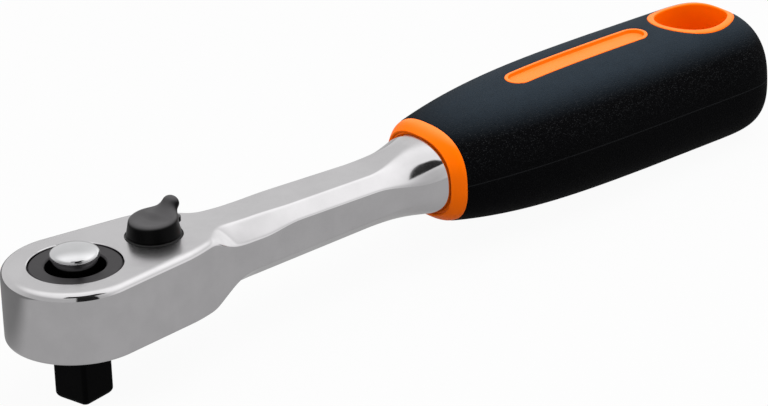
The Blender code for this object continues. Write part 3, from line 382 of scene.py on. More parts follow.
def grid_faces(rows, columns, round_columns):
    """Quads between the points of a grid, closed round where asked."""
    index = np.arange(rows * columns).reshape(rows, columns)
    if round_columns:
        index = np.hstack((index, index[:, :1]))
    corners = (index[:-1, :-1], index[:-1, 1:], index[1:, 1:], index[1:, :-1])
    return np.stack(corners, axis=-1)


def surface(name, grid, round_columns=False, fill=True, keep=None):
    """Piece from a grid of points, with only the cells to keep where a mask is given. Doubled points are
    merged, open ends are filled where asked, and faces are turned outward."""
    faces = grid_faces(*grid.shape[:2], round_columns)
    faces = faces.reshape(-1, 4) if keep is None else faces[keep]
    mesh = bpy.data.meshes.new(name)
    mesh.from_pydata(grid.reshape(-1, 3).tolist(), [], faces.tolist())
    bm = bmesh.new()
    bm.from_mesh(mesh)
    bmesh.ops.remove_doubles(bm, verts=bm.verts, dist=MERGE_DISTANCE)
    if fill:
        bmesh.ops.holes_fill(bm, edges=bm.edges, sides=0)
    bmesh.ops.recalc_face_normals(bm, faces=bm.faces)
    bm.to_mesh(mesh)
    bm.free()
    piece = bpy.data.objects.new(name, mesh)
    bpy.context.scene.collection.objects.link(piece)
    shade(piece)
    return piece


def lathe(name, profile, centre=(0.0, 0.0), steps=160):
    """Radius and height of a profile swept round an upright axis."""
    radius, height = np.array(profile).T[:, :, None]
    turn = np.linspace(0, 2 * np.pi, steps, endpoint=False)
    grid = stack(centre[0] + radius * np.cos(turn), centre[1] + radius * np.sin(turn), height)
    return surface(name, grid, round_columns=True)


def rounded(profile, radius, steps=6):
    """Profile with its inner corners cut back and replaced by curves, each tangent to both of its sides."""
    points = np.array(profile, float)
    before, corner, after = points[:-2], points[1:-1], points[2:]
    back = before - corner
    on = after - corner
    back_length = np.linalg.norm(back, axis=1, keepdims=True)
    on_length = np.linalg.norm(on, axis=1, keepdims=True)
    reach = np.minimum(radius, np.minimum(back_length, on_length) / 2.1)
    start = (corner + back / back_length * reach)[:, None]
    end = (corner + on / on_length * reach)[:, None]
    t = np.linspace(0, 1, steps)[None, :, None]
    curve = start * (1 - t) ** 2 + corner[:, None] * 2 * t * (1 - t) + end * t**2
    return np.vstack((points[:1], curve.reshape(-1, 2), points[-1:]))


def subtract(piece, *cutters):
    """Cuts closed cutters out of a piece and removes them."""
    for cutter in cutters:
        modifier = piece.modifiers.new(cutter.name, "BOOLEAN")
        modifier.operation = "DIFFERENCE"
        modifier.solver = "EXACT"
        modifier.object = cutter
    graph = bpy.context.evaluated_depsgraph_get()
    done = bpy.data.meshes.new_from_object(piece.evaluated_get(graph))
    piece.modifiers.clear()
    piece.data = done
    for cutter in cutters:
        bpy.data.objects.remove(cutter)
    shade(piece)


def join(piece, *others):
    """Puts the faces of other pieces into one piece and removes them."""
    bm = bmesh.new()
    for source in (piece, *others):
        bm.from_mesh(source.data)
    bm.to_mesh(piece.data)
    bm.free()
    for other in others:
        bpy.data.objects.remove(other)
    shade(piece)


def dress(piece, body, slot, material, *nodes):
    """Gives a piece its finish, puts it on a body of the frame and hides the CAD nodes that it takes the
    place of.
    """
    piece.data.materials.clear()
    piece.data.materials.append(material)
    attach(piece, body)
    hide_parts(*nodes)


# Forged body

def flank_turn(s):
    """Turn about the drive's axis at which a straight flank leaves the nose's arc."""
    reach = math.hypot(s.rear_x, s.rear_half_width)
    return math.atan2(s.rear_half_width, s.rear_x) + math.acos(s.nose_radius / reach)


def body_stations(s):
    """Half the plan of the body: nose arc, straight flank, Bezier ramp, shank and flare, as arrays of
    places, inward normals, half heights, bottom and top corner sizes and shares of slant."""
    turn = np.linspace(math.pi, flank_turn(s), 56)
    nose = s.nose_radius * stack(np.cos(turn), np.sin(turn))
    rear = np.array((s.rear_x, s.rear_half_width))
    flank = (rear - nose[-1]) / np.linalg.norm(rear - nose[-1])
    lead = rear - flank * s.ramp_lead
    straight = mix(nose[-1], lead, np.linspace(0, 1, 14)[1:, None])

    shank_x = s.rear_x + s.ramp_length
    shank = np.array((shank_x, s.shank_half_width))
    first = lead + flank * s.ramp_length / 2
    second = shank - np.array((s.ramp_length / 2, 0))
    t = np.linspace(0, 1, 50)[1:, None]
    ramp = lead * (1 - t) ** 3 + first * 3 * (1 - t) ** 2 * t + second * 3 * (1 - t) * t**2 + shank * t**3
    slope = (first - lead) * (1 - t) ** 2 + (second - first) * 2 * (1 - t) * t + (shank - second) * t**2
    slope /= np.linalg.norm(slope, axis=1, keepdims=True)
    share = t[:, 0]

    end_x = shank_x + s.shank_length
    along = np.linspace(0, 1, 24)[1:]
    bar_width = s.shank_half_width - s.shank_taper * along
    bar_height = s.shank_half_height - s.shank_taper * along
    bar = stack(mix(shank_x, end_x, along), bar_width)
    swell_share = np.linspace(0, 1, 50)[1:]
    swell = mix(smooth(swell_share), swell_share**2, FLARE_BEND)
    flare = stack(end_x + s.flare_length * swell_share, mix(bar_width[-1], s.flare_half_width, swell))

    head_height = AXIS_Z - HEAD_BOTTOM
    head_count = len(nose) + len(straight)
    place = np.vstack((nose, straight, ramp, bar, flare))
    inward = np.vstack((
        -nose / s.nose_radius,
        np.tile((flank[1], -flank[0]), (len(straight), 1)),
        stack(slope[:, 1], -slope[:, 0]),
        np.tile((0.0, -1.0), (len(bar) + len(flare), 1)),
    ))
    half_height = np.concatenate((
        np.full(head_count, head_height),
        mix(head_height, s.shank_half_height, step_over(share, RAMP_FALL)),
        bar_height,
        mix(bar_height[-1], s.flare_half_height, swell),
    ))
    extra = 1 - smooth(along * s.shank_length / s.chamfer_fade)
    bottom = (s.bottom_fillet, 0.0, 0.0)
    top = (s.top_fillet, s.chamfer_spread, s.chamfer_drop)
    corners = []
    for fillet, spread, drop in (bottom, top):
        ramp_inset = ramp[:, 1] - s.shank_half_width + s.shank_chamfer + spread
        inset = np.concatenate((
            np.full(head_count, fillet),
            mix(fillet, ramp_inset, step_over(share, RAMP_WIDEN)),
            s.shank_chamfer + spread * extra,
            mix(s.shank_chamfer, s.flare_half_width - s.flare_flat, swell),
        ))
        depth = np.concatenate((
            np.full(head_count, fillet),
            mix(fillet, s.shank_chamfer + drop, step_over(share, RAMP_DEEPEN)),
            s.shank_chamfer + drop * extra,
            mix(s.shank_chamfer, s.flare_half_height - s.flare_flat, swell),
        ))
        corners.append(stack(inset, depth))
    slant = np.concatenate((np.zeros(head_count), step_over(share, RAMP_SLANT), np.ones(len(bar)), 1 - swell))
    return place, inward, half_height, corners, slant


def soft_ramp(value, soft):
    """Nothing below -soft, the value itself above soft, and a parabola tangent to both between them."""
    return np.where(value < soft, np.maximum(value + soft, 0) ** 2 / (4 * soft), value)


def body_grid(s):
    """Half sections from the middle of the underside round to the middle of the top, at every station of
    the whole outline. A corner goes from a quarter superellipse to a slanted face with soft edges."""
    place, inward, half_height, corners, slant = body_stations(s)
    quarter = np.linspace(0, math.pi / 2, 25)
    exponent = 2 / s.round_power
    across = np.linspace(-s.edge_soft, 1 + s.edge_soft, 25)
    inset = mix(1 - np.cos(quarter) ** exponent, soft_ramp(across, s.edge_soft), slant[:, None])
    drop = mix(1 - np.sin(quarter) ** exponent, soft_ramp(1 - across, s.edge_soft), slant[:, None])
    flat = np.array((0.03, 0.15, 0.4, 0.7, 1.0))
    halves = []
    for size, side in zip(corners, (-1, 1)):
        spot = place[:, None] + inward[:, None] * (size[:, :1] * inset)[..., None]
        height = AXIS_Z + side * (half_height[:, None] - size[:, 1:] * drop)
        curve = stack(spot[..., 0], np.maximum(spot[..., 1], 0), height)
        edge = curve[:, -1:]
        middle = edge * np.array((1, 0, 1))
        half = np.concatenate((curve, mix(edge, middle, flat[:, None])), axis=1)
        halves.append(half if side > 0 else half[:, ::-1])
    low, high = halves[0][:, -1:], halves[1][:, :1]
    side_shares = np.array((0.04, 0.35, 0.65, 0.96))
    grid = np.concatenate((halves[0], mix(low, high, side_shares[:, None]), halves[1]), axis=1)
    other = grid[:0:-1] * np.array((1, -1, 1))
    return np.vstack((other, grid))


def cover_recess(s):
    """Prism of the cover's recess: round nose, straight flanks and a round-cornered tail."""
    leave = flank_turn(s)
    radius = s.nose_radius - s.cover_inset
    slope = leave - math.pi / 2
    corner_x = LEVER_X + s.cover_tail - s.cover_corner
    start = radius * np.array((math.cos(leave), math.sin(leave)))
    corner_y = start[1] + (corner_x - start[0]) * math.tan(slope) - s.cover_corner / math.cos(slope)
    tail = np.linspace(0, leave, 12)
    upper = stack(corner_x + s.cover_corner * np.cos(tail), corner_y + s.cover_corner * np.sin(tail))
    turn = np.linspace(leave, 2 * math.pi - leave, 90)
    nose = radius * stack(np.cos(turn), np.sin(turn))
    outline = np.vstack((upper, nose, upper[::-1] * np.array((1, -1))))
    levels = np.array((HEAD_BOTTOM - s.cover_seat, s.cover_seat))[:, None]
    return surface("cover_recess", stack(outline[:, 0], outline[:, 1], levels), round_columns=True)


def hole(name, profile, centre=(0.0, 0.0)):
    """Stepped round cutter, closed on its axis at both ends."""
    ends = [(0.0, profile[0][1]), *profile, (0.0, profile[-1][1])]
    return lathe(name, ends, centre, steps=128)


def build_body(context):
    """Skin through all the stations, with the gear, the lever and the cover let into the head."""
    s = context.scene.ratchet_body
    body = surface("forged_body", body_grid(s))
    below = HEAD_BOTTOM - s.cover_seat
    above = HEAD_TOP + s.cover_seat
    chamfer = s.hole_chamfer
    subtract(
        body,
        hole("gear_hole", [
            (s.gear_bore_radius, below), (s.gear_bore_radius, s.ceiling), (s.hub_hole_radius, s.ceiling),
            (s.hub_hole_radius, HEAD_TOP - chamfer), (s.hub_hole_radius + chamfer, HEAD_TOP),
            (s.hub_hole_radius + chamfer, above),
        ]),
        hole("lever_hole", [
            (s.lever_bore_radius, below), (s.lever_bore_radius, HEAD_TOP - s.seal_seat_depth),
            (s.seal_seat_radius, HEAD_TOP - s.seal_seat_depth), (s.seal_seat_radius, HEAD_TOP - chamfer),
            (s.seal_seat_radius + chamfer, HEAD_TOP), (s.seal_seat_radius + chamfer, above),
        ], (LEVER_X, 0.0)),
        cover_recess(s),
    )
    return body


# Drive, button and lever

def square_reach(half, corner, turn):
    """Polar radius of a square with round corners."""
    sides = (np.abs(np.cos(turn)), np.abs(np.sin(turn)))
    ahead, across = np.maximum(*sides), np.minimum(*sides)
    middle = half - corner
    lean = middle * (ahead + across)
    bend = lean + np.sqrt(np.maximum(lean**2 - 2 * middle**2 + corner**2, 0))
    return np.where(half * across <= middle * ahead, half / ahead, bend)


def drive_grid(s):
    """Loops about the drive's axis, each a circle, a toothed circle or a square with round corners: up the
    bore, out over the hub, down past the teeth to the shoulder and over the square to its round end."""
    turn = np.linspace(0, 2 * np.pi, 720, endpoint=False)
    pitch = 2 * np.pi / TEETH
    phase = np.abs((turn / pitch + 0.5) % 1 - 0.5)
    teeth = s.gear_radius - s.tooth_depth * np.clip((phase - TOOTH_TIP) / TOOTH_FLANK, 0, 1)
    top = GEAR_HIGH.z
    upper = [
        (0.0, s.bore_low), (s.bore_radius, s.bore_low), (s.bore_radius, s.well_floor),
        (s.well_radius, s.well_floor), (s.well_radius, top - s.hub_edge), (s.well_radius + s.hub_edge, top),
        (s.hub_radius - s.hub_edge, top), (s.hub_radius, top - s.hub_edge), (s.hub_radius, s.gear_top),
    ]
    lower = [
        (s.shoulder_radius, s.gear_low), (s.shoulder_radius, s.shoulder_low + s.end_round / 2),
        (s.shoulder_radius - s.end_round / 2, s.shoulder_low), (s.square_half, s.shoulder_low),
    ]
    loops = [(np.full_like(turn, radius), height) for radius, height in upper]
    loops += [(teeth, s.gear_top), (teeth, s.gear_low)]
    loops += [(np.full_like(turn, radius), height) for radius, height in lower]
    bend = np.linspace(0, math.pi / 2, 9)
    drawn = s.end_round * (1 - np.cos(bend))
    heights = s.end_round * (1 - np.sin(bend))
    loops.append((square_reach(s.square_half, s.square_corner, turn), s.shoulder_low))
    loops += [(square_reach(s.square_half - inset, s.square_corner, turn), height)
              for inset, height in zip(drawn, heights)]
    loops.append((np.zeros_like(turn), 0.0))
    radius = np.stack([loop[0] for loop in loops])
    height = np.array([loop[1] for loop in loops])[:, None]
    turn = turn + s.drive_turn
    return stack(radius * np.cos(turn), radius * np.sin(turn), height)


def build_drive(context):
    """Hub, gear and square in one piece, with the bore of the detent ball across the square."""
    s = context.scene.ratchet_drive
    drive = surface("drive_spindle", drive_grid(s), round_columns=True)
    turn = np.linspace(0, 2 * np.pi, 48, endpoint=False)
    along = np.array((s.bore_radius / 2, s.square_half - s.ball_lip, s.square_half * 1.5))[:, None]
    radius = np.array((s.ball_bore, s.ball_bore, s.ball_mouth))[:, None]
    across, height = radius * np.cos(turn), s.ball_height + radius * np.sin(turn)
    cos, sin = math.cos(s.drive_turn), math.sin(s.drive_turn)
    grid = stack(along * cos - across * sin, along * sin + across * cos, height)
    subtract(drive, surface("ball_bore", grid, round_columns=True))
    return drive


def build_button(context):
    """Domed button, its hollow skirt and its stem with a tapered neck: one profile swept round its axis."""
    s = context.scene.ratchet_lever
    rim = BUTTON_HIGH.z - s.button_dome
    rise = np.linspace(0, math.pi / 2, 28)
    dome = stack(s.button_radius * np.sin(rise), rim + s.button_dome * np.cos(rise))
    skirt = s.button_radius - s.skirt_inset
    low = rim - s.button_edge
    cup = skirt - s.skirt_wall
    lower = [
        (s.button_radius, rim - s.button_edge / 2), (s.button_radius, low), (skirt, low),
        (skirt, s.skirt_low), (cup, s.skirt_low),
    ]
    inside = [
        (cup, low - s.crown), (s.stem_radius, low - s.crown),
        (s.stem_radius, s.neck_height + s.stem_radius - s.neck_radius), (s.neck_radius, s.neck_height),
        (s.stem_radius, context.scene.ratchet_drive.ball_height), (s.stem_radius, BUTTON_LOW.z),
        (0.0, BUTTON_LOW.z),
    ]
    return lathe("domed_button", np.vstack((dome, rounded(lower, s.button_edge / 3), inside)))


def build_spring(context):
    """Round wire along a helix about the drive's axis, from the well's floor to the button's hollow."""
    s = context.scene.ratchet_lever
    share = np.linspace(0, 1, 181)[:, None]
    bend = np.linspace(0, 2 * np.pi, 16, endpoint=False)
    wire = s.spring_wire
    turn = 2 * np.pi * s.spring_turns * share
    radius = SPRING_HIGH.x - wire + wire * np.cos(bend)
    height = mix(SPRING_LOW.z + wire, SPRING_HIGH.z - wire, share) + wire * np.sin(bend)
    grid = stack(radius * np.cos(turn), radius * np.sin(turn), height)
    return surface("release_coil", grid, round_columns=True)


def round_max(a, b, radius):
    """Larger of two distances, with the edge between them rounded."""
    a, b = a + radius, b + radius
    return np.hypot(np.maximum(a, 0), np.maximum(b, 0)) + np.minimum(np.maximum(a, b), 0) - radius


def soft_min(a, b, reach):
    """Smaller of two distances, with a fillet where they are nearly equal."""
    near = np.maximum(reach - np.abs(a - b), 0) / reach
    return np.minimum(a, b) - near**2 * reach / 4


def lever_distance(s, x, y, z):
    """Distance from the lever's skin, less than nothing inside: a conical base with a dished top and round
    edges, joined by a fillet with a finger of ellipsoids along a parabola that rises from the base."""
    middle = np.hypot(x, y)
    side = middle - mix(s.base_radius, s.top_radius, z / s.base_height)
    dish = s.dish * np.maximum(1 - (middle / s.top_radius) ** 2, 0)
    base = round_max(round_max(side, z - s.base_height - s.rake * x + dish, s.top_edge), -z, s.edge / 2)

    share = np.linspace(0.25, 1, 18).reshape((-1,) + (1,) * x.ndim)
    path_x = s.tab_x * share
    path_z = s.base_height - s.tab_thick / 2 + s.tab_rise * share**2
    slope = np.arctan2(2 * s.tab_rise * share, s.tab_x)
    half_width = mix(s.tab_root_width, s.tab_width, share) / 2
    half_thick = mix(s.tab_thick, s.tab_end_thick, share**2) / 2
    along = (x - path_x) * np.cos(slope) + (z - path_z) * np.sin(slope)
    upward = (z - path_z) * np.cos(slope) - (x - path_x) * np.sin(slope)
    reach = np.sqrt((along / half_thick) ** 2 + (y / half_width) ** 2 + (upward / half_thick) ** 2)
    finger = np.min((reach - 1) * half_thick, axis=0)
    return soft_min(base, finger, s.fillet)


def lever_grid(s):
    """Rays from inside the base in every direction, each followed outward, by its distance from the skin,
    until it gets there."""
    rows, columns = LEVER_RAYS
    tilt = np.linspace(0, np.pi, rows)[:, None]
    turn = np.linspace(0, 2 * np.pi, columns, endpoint=False)
    ray = stack(np.sin(tilt) * np.cos(turn), np.sin(tilt) * np.sin(turn), np.cos(tilt))
    start = np.array((s.base_radius / 4, 0.0, s.base_height / 2))
    reach = np.zeros(LEVER_RAYS)
    for _ in range(LEVER_STEPS):
        spot = start + ray * reach[..., None]
        reach -= lever_distance(s, *np.moveaxis(spot, -1, 0))
    return start + ray * reach[..., None] + np.array((0.0, 0.0, s.base_low))


def heel_grid(s):
    """Small bar with a round end behind the base: its outline drawn in at both ends of its height."""
    half = s.heel_half_width
    turn = np.linspace(-math.pi / 2, math.pi / 2, 24)
    end = stack(s.heel_reach - half + half * np.cos(turn), half * np.sin(turn))
    outline = np.vstack(([(half, -half)], end, [(half, half)]))
    middle = np.array((s.heel_reach / 2, 0.0))
    soft = s.edge / 2
    low = s.base_low + s.heel_up
    high = low + s.heel_height
    drawn = 1 - soft / half
    levels = ((0, low), (drawn, low), (1, low + soft), (1, high - soft), (drawn, high), (0, high))
    return np.stack([stack(*(middle + (outline - middle) * share).T, height) for share, height in levels])


def build_lever(context):
    """Thumb lever about its own axis, with its heel and its spindle."""
    s = context.scene.ratchet_lever
    bore = context.scene.ratchet_body.lever_bore_radius
    move = np.array((LEVER_X, 0.0, 0.0))
    turn = np.array(Matrix.Rotation(s.swing, 3, "Z"))
    lever = surface("thumb_lever", lever_grid(s) @ turn.T + move, round_columns=True)
    heel = surface("lever_heel", heel_grid(s) @ turn.T + move, round_columns=True)
    radius = bore * SPINDLE_FIT
    high, low = s.base_low + s.edge, COVER_HIGH.z * SPINDLE_END
    spindle = lathe("lever_spindle", [(0.0, high), (radius, high), (radius, low), (0.0, low)], (LEVER_X, 0.0))
    join(lever, heel, spindle)
    return lever


def build_seal(context):
    """Sealing ring under the lever: a round-edged section swept about the lever's axis."""
    b = context.scene.ratchet_body
    s = context.scene.ratchet_lever
    inner, outer = b.lever_bore_radius + s.seal_gap, b.seal_seat_radius - s.seal_gap
    low, high = HEAD_TOP - b.seal_seat_depth + s.seal_gap, s.base_low - s.seal_gap / 2
    soft = s.edge / 3
    section = [
        (inner, low), (outer, low), (outer, high - soft), (outer - soft, high), (inner, high), (inner, low),
    ]
    return lathe("lever_seal_ring", section, (LEVER_X, 0.0))


# Handle

def handle_oval(half_width, half_height, power, count=192):
    """Superellipse section, starting on the near side."""
    turn = np.linspace(0, 2 * np.pi, count, endpoint=False)
    exponent = 2 / power
    y = half_width * signed_power(np.cos(turn), exponent)
    z = half_height * signed_power(np.sin(turn), exponent)
    return y, z


def handle_halves(h, x):
    """Half width and half height of the handle at x: a cubic swell, then a slight straight taper."""
    slim = (1 - np.clip((x - h.front_x) / h.swell, 0, 1)) ** 3
    tail = h.tail * np.clip((x - h.front_x - h.swell) / (h.end_x - h.front_x - h.swell), 0, 1)
    half_width = mix(h.half_width, h.front_half_width, slim) - tail
    half_height = mix(h.half_height, h.front_half_height, slim) - tail
    return half_width, half_height


def cap_share(h, x):
    """Share of the full section that is left at x: 1 up to the blunt end, then a superellipse down to 0."""
    along = np.clip((x - h.end_x + h.cap) / h.cap, 0, 1)
    return (1 - along**h.cap_power) ** (1 / h.cap_power)


def handle_height(h, x, y):
    """Height of the handle's top above its axis at a place in plan."""
    half_width, half_height = handle_halves(h, x)
    share = np.maximum(cap_share(h, x), 1e-4)
    across = np.clip(np.abs(y) / (half_width * share), 0, 1)
    return half_height * share * (1 - across**h.power) ** (1 / h.power)


def eye_x(h):
    """Middle of the hanging eye."""
    return h.end_x - h.eye_back


def label_ends(h):
    """Centres of the label panel's two round ends, front and rear."""
    rear = eye_x(h) - h.eye_half_length - h.label_gap - h.label_half_width
    return rear - h.label_length + 2 * h.label_half_width, rear


def label_distance(h, x, y):
    """How far outside the label panel's edge a place in plan lies, less than nothing inside."""
    front, rear = label_ends(h)
    return np.hypot(x - np.clip(x, front, rear), y) - h.label_half_width


def eye_distance(h, x, y):
    """About how far outside the eye's oval rim a place in plan lies."""
    return (np.hypot((x - eye_x(h)) / h.eye_half_length, y / h.eye_half_width) - 1) * h.eye_half_width


def build_collar(context):
    """Oval rings of the collar: a round lip on the flare, then a quarter sine wave, closed behind."""
    h = context.scene.ratchet_handle
    b = context.scene.ratchet_body
    bend = np.linspace(0, math.pi / 2, 40)
    rise = np.sin(bend)
    roll = np.linspace(0, math.pi / 2, 8)[:-1]
    lip_x = h.collar_lip * (1 - np.sin(roll))
    lip_rise = h.collar_lip * (1 - np.cos(roll))
    x = h.collar_x + np.concatenate((lip_x, h.collar_length * bend / bend[-1]))
    x = np.concatenate((x[:1], x, [h.front_x, h.front_x]))[:, None]
    widths = (b.flare_half_width, h.front_half_width)
    heights = (b.flare_half_height, h.front_half_height)
    halves = []
    for flare, front in (widths, heights):
        low = flare + h.collar_gap
        wave = mix(low + h.collar_lip, front - h.collar_step, rise)
        inside = flare * COLLAR_INSIDE
        half = np.concatenate(([inside], low + lip_rise, wave, [wave[-1] - h.collar_step, inside]))
        halves.append(half[:, None])
    y, z = handle_oval(*halves, h.power)
    return surface("collar", stack(x, y, AXIS_Z + z), round_columns=True)


def build_label(context):
    """Label panel: stadium loops from below its edge, over its rim, down to its floor and to the middle."""
    h = context.scene.ratchet_handle
    front, rear = label_ends(h)
    soft = h.label_rim / 5
    deep = h.wall / 2
    rim, floor = h.label_rim, h.label_depth
    levels = (
        (0, deep), (0, soft), (soft / 3, soft / 3), (soft, 0), (rim - soft, 0), (rim - soft / 3, soft / 3),
        (rim, soft), (rim + soft / 2, floor - soft), (rim + soft, floor - soft / 3), (rim + 2 * soft, floor),
        *((share * h.label_half_width, floor) for share in (0.4, 0.6, 0.8, 1.0)),
    )
    inset, depth = np.array(levels).T[:, :, None]
    radius = h.label_half_width - inset
    turn = np.linspace(math.pi / 2, 3 * math.pi / 2, 48)
    straight = np.linspace(0, 1, 60)[1:-1]
    level = np.zeros_like(radius)
    there, back = mix(front, rear, straight) + level, mix(rear, front, straight) + level
    edge = radius + np.zeros_like(straight)
    x = np.hstack((front + radius * np.cos(turn), there, rear - radius * np.cos(turn), back))
    y = np.hstack((radius * np.sin(turn), -edge, -radius * np.sin(turn), edge))
    z = AXIS_Z + handle_height(h, x, y) - depth
    return surface("label_panel", stack(x, y, z), round_columns=True)


def build_eye(context):
    """Lining of the hanging eye: oval loops over its upper rim, down its bore and round its lower rim."""
    h = context.scene.ratchet_handle
    soft = h.eye_rim / 3
    deep = h.wall / 2
    bend = np.linspace(0, math.pi / 2, 10)
    inset = np.concatenate(((0, 0, soft / 4), h.eye_rim - soft * (1 - np.sin(bend))))[:, None]
    depth = np.concatenate(((deep, soft / 4, 0), soft * (1 - np.cos(bend))))[:, None]
    turn = np.linspace(0, 2 * np.pi, 200, endpoint=False)
    x = eye_x(h) + (h.eye_half_length - inset) * np.cos(turn)
    y = (h.eye_half_width - inset) * np.sin(turn)
    height = handle_height(h, x, y) - depth
    upper = stack(x, y, AXIS_Z + height)
    lower = stack(x, y, AXIS_Z - height)[::-1]
    bore = mix(upper[-1], lower[0], np.linspace(0, 1, 12)[1:-1, None, None])
    return surface("eye_lining", np.concatenate((upper, bore, lower)), round_columns=True, fill=False)


def grip_grid(h):
    """Oval sections of the soft shell: its thick front edge, the swell, the belly and the blunt round end.
    Beside the label panel and the eye the shell dips a little."""
    soft = h.wall / 8
    bend = np.linspace(0, math.pi / 2, 6)
    lip_x = h.front_x + soft * (1 - np.sin(bend[::-1]))
    lip_inset = soft * (1 - np.cos(bend[::-1]))
    start = h.end_x - h.cap
    straight = np.linspace(h.front_x + soft, start, 200)
    closing = h.end_x - h.cap * (1 - np.linspace(0, 1, 100)[1:]) ** 2.5
    x = np.concatenate(((h.front_x + h.wall, h.front_x), lip_x, straight, closing))[:, None]
    inset = np.concatenate(((h.wall, h.wall), lip_inset, np.zeros(len(straight) + len(closing))))[:, None]
    half_width, half_height = handle_halves(h, x)
    share = cap_share(h, x)
    y, z = handle_oval((half_width - inset) * share, (half_height - inset) * share, h.power)
    label = np.where(z > 0, label_distance(h, x, y), h.wall)
    beside = np.minimum(label, eye_distance(h, x, y))
    dip = h.seam * (1 - smooth(beside / h.wall * 4))
    return stack(x, y, AXIS_Z + z - np.sign(z) * dip)


def build_grip(context):
    """Soft shell without the cells that lie well inside the label panel and the eye."""
    h = context.scene.ratchet_handle
    grid = grip_grid(h)
    around = np.concatenate((grid, grid[:, :1]), axis=1)
    middle = (around[:-1, :-1] + around[1:, :-1] + around[:-1, 1:] + around[1:, 1:]) / 4
    x, y, z = np.moveaxis(middle, -1, 0)
    covered = h.wall / 5
    keep = (eye_distance(h, x, y) > -covered) & ((z < AXIS_Z) | (label_distance(h, x, y) > -covered))
    return surface("soft_grip", grid, round_columns=True, fill=False, keep=keep)


# Finishes

class Value:
    """Output of a shader node, with sums, differences and products as new nodes."""

    def __init__(self, tree, socket):
        self.tree = tree
        self.socket = socket

    def node(self, kind, settings=None, inputs=None, output=0):
        """Any other node of the same tree: its type, its settings and its inputs by name or number."""
        made = self.tree.nodes.new(kind)
        for key, setting in (settings or {}).items():
            setattr(made, key, setting)
        for key, given in (inputs or {}).items():
            if isinstance(given, Value):
                self.tree.links.new(given.socket, made.inputs[key])
            else:
                made.inputs[key].default_value = given
        return Value(self.tree, made.outputs[output])

    def maths(self, operation, first, second):
        """Math node of two values or numbers."""
        return self.node("ShaderNodeMath", {"operation": operation}, {0: first, 1: second})

    def __add__(self, other):
        return self.maths("ADD", self, other)

    def __radd__(self, other):
        return self.maths("ADD", other, self)

    def __sub__(self, other):
        return self.maths("SUBTRACT", self, other)

    def __rsub__(self, other):
        return self.maths("SUBTRACT", other, self)

    def __mul__(self, other):
        return self.maths("MULTIPLY", self, other)

    def __rmul__(self, other):
        return self.maths("MULTIPLY", other, self)


def step_between(value, low, high):
    """Smooth step of a value from low to high."""
    return value.node("ShaderNodeMapRange", {"interpolation_type": "SMOOTHSTEP"}, {0: value, 1: low, 2: high})


def mix_colours(factor, first, second):
    """Mix of two colours by a factor."""
    first, second = ((*c, 1.0) if not isinstance(c, Value) else c for c in (first, second))
    return factor.node("ShaderNodeMix", {"data_type": "RGBA"}, {0: factor, 6: first, 7: second}, output=2)


def noise(place, scale, detail=3.0, roughness=0.55):
    """Noise of that many waves in a metre."""
    inputs = {"Vector": place, "Scale": scale, "Detail": detail, "Roughness": roughness}
    return place.node("ShaderNodeTexNoise", None, inputs)


def stretched(place, scales):
    """Place with each axis scaled, for grain that runs one way."""
    return place.node("ShaderNodeVectorMath", {"operation": "MULTIPLY"}, {0: place, 1: scales})


def bump(height, distance, strength=1.0, normal=None):
    """Normal tilted by a height from 0 to 1, over that distance in metres."""
    inputs = {"Height": height, "Distance": distance, "Strength": strength}
    if normal:
        inputs["Normal"] = normal
    return height.node("ShaderNodeBump", None, inputs)


def new_material(name):
    """Material with an empty Principled shader, with its place in metres and its three coordinates."""
    material = bpy.data.materials.new(name)
    material.use_nodes = True
    tree = material.node_tree
    shader = tree.nodes["Principled BSDF"]
    place = Value(tree, tree.nodes.new("ShaderNodeTexCoord").outputs["Object"])
    split = place.node("ShaderNodeSeparateXYZ", None, {0: place})
    axes = [Value(tree, output) for output in split.socket.node.outputs]
    return material, shader, place, axes


def feed(shader, **inputs):
    """Links values to a shader's inputs, and sets the plain ones, by their names with underscores."""
    tree = shader.id_data
    for name, given in inputs.items():
        socket = shader.inputs[name.replace("_", " ")]
        if isinstance(given, Value):
            tree.links.new(given.socket, socket)
        else:
            socket.default_value = given


def metal(name, tint, rough, spread, grain=(1.0, 1.0, 1.0), wave=0.00002, satin_above=None):
    """Bare or plated metal: smudged roughness, fine grain along one way and a slightly wavy face. Faces
    above a height may be satin."""
    material, shader, place, (_, _, z) = new_material(name)
    smudge = noise(place, 130.0, 4.0)
    fine = noise(stretched(place, grain), 2600.0, 2.0)
    shade_share = step_between(smudge, 0.3, 0.7)
    dark = tuple(c * 0.94 for c in tint)
    roughness = rough + spread * shade_share + spread * 0.5 * fine
    if satin_above:
        roughness = roughness + SATIN * step_between(z, satin_above - 0.0001, satin_above)
    feed(
        shader,
        Base_Color=mix_colours(shade_share, tint, dark),
        Metallic=1.0,
        Roughness=roughness,
        Normal=bump(fine, wave * 0.1, 0.4, bump(noise(place, 90.0, 2.0), wave)),
    )
    return material


def blacked_steel(finish):
    """Blacked steel of the drive: black square, and a satin grey turned ring on top of the hub."""
    material, shader, place, (x, y, z) = new_material("black_steel")
    top = step_between(z, GEAR_HIGH.z - 0.0006, GEAR_HIGH.z - 0.0001)
    plan = place.node("ShaderNodeCombineXYZ", None, {0: x, 1: y})
    radius = place.node("ShaderNodeVectorMath", {"operation": "LENGTH"}, {0: plan}, output=1)
    rings = noise(place.node("ShaderNodeCombineXYZ", None, {0: radius, 1: 0.0}), 5200.0, 2.0)
    blotch = noise(place, 420.0, 4.0)
    worn = mix_colours(blotch, finish.black_steel, tuple(c * 2.2 for c in finish.black_steel))
    feed(
        shader,
        Base_Color=mix_colours(top, worn, finish.hub_steel),
        Metallic=top,
        Roughness=0.36 + 0.12 * blotch + 0.06 * (rings * top),
        Specular_IOR_Level=0.02,
        Normal=bump(rings * top + noise(place, 3000.0) * (1.0 - top), 0.000012, 0.6),
    )
    return material


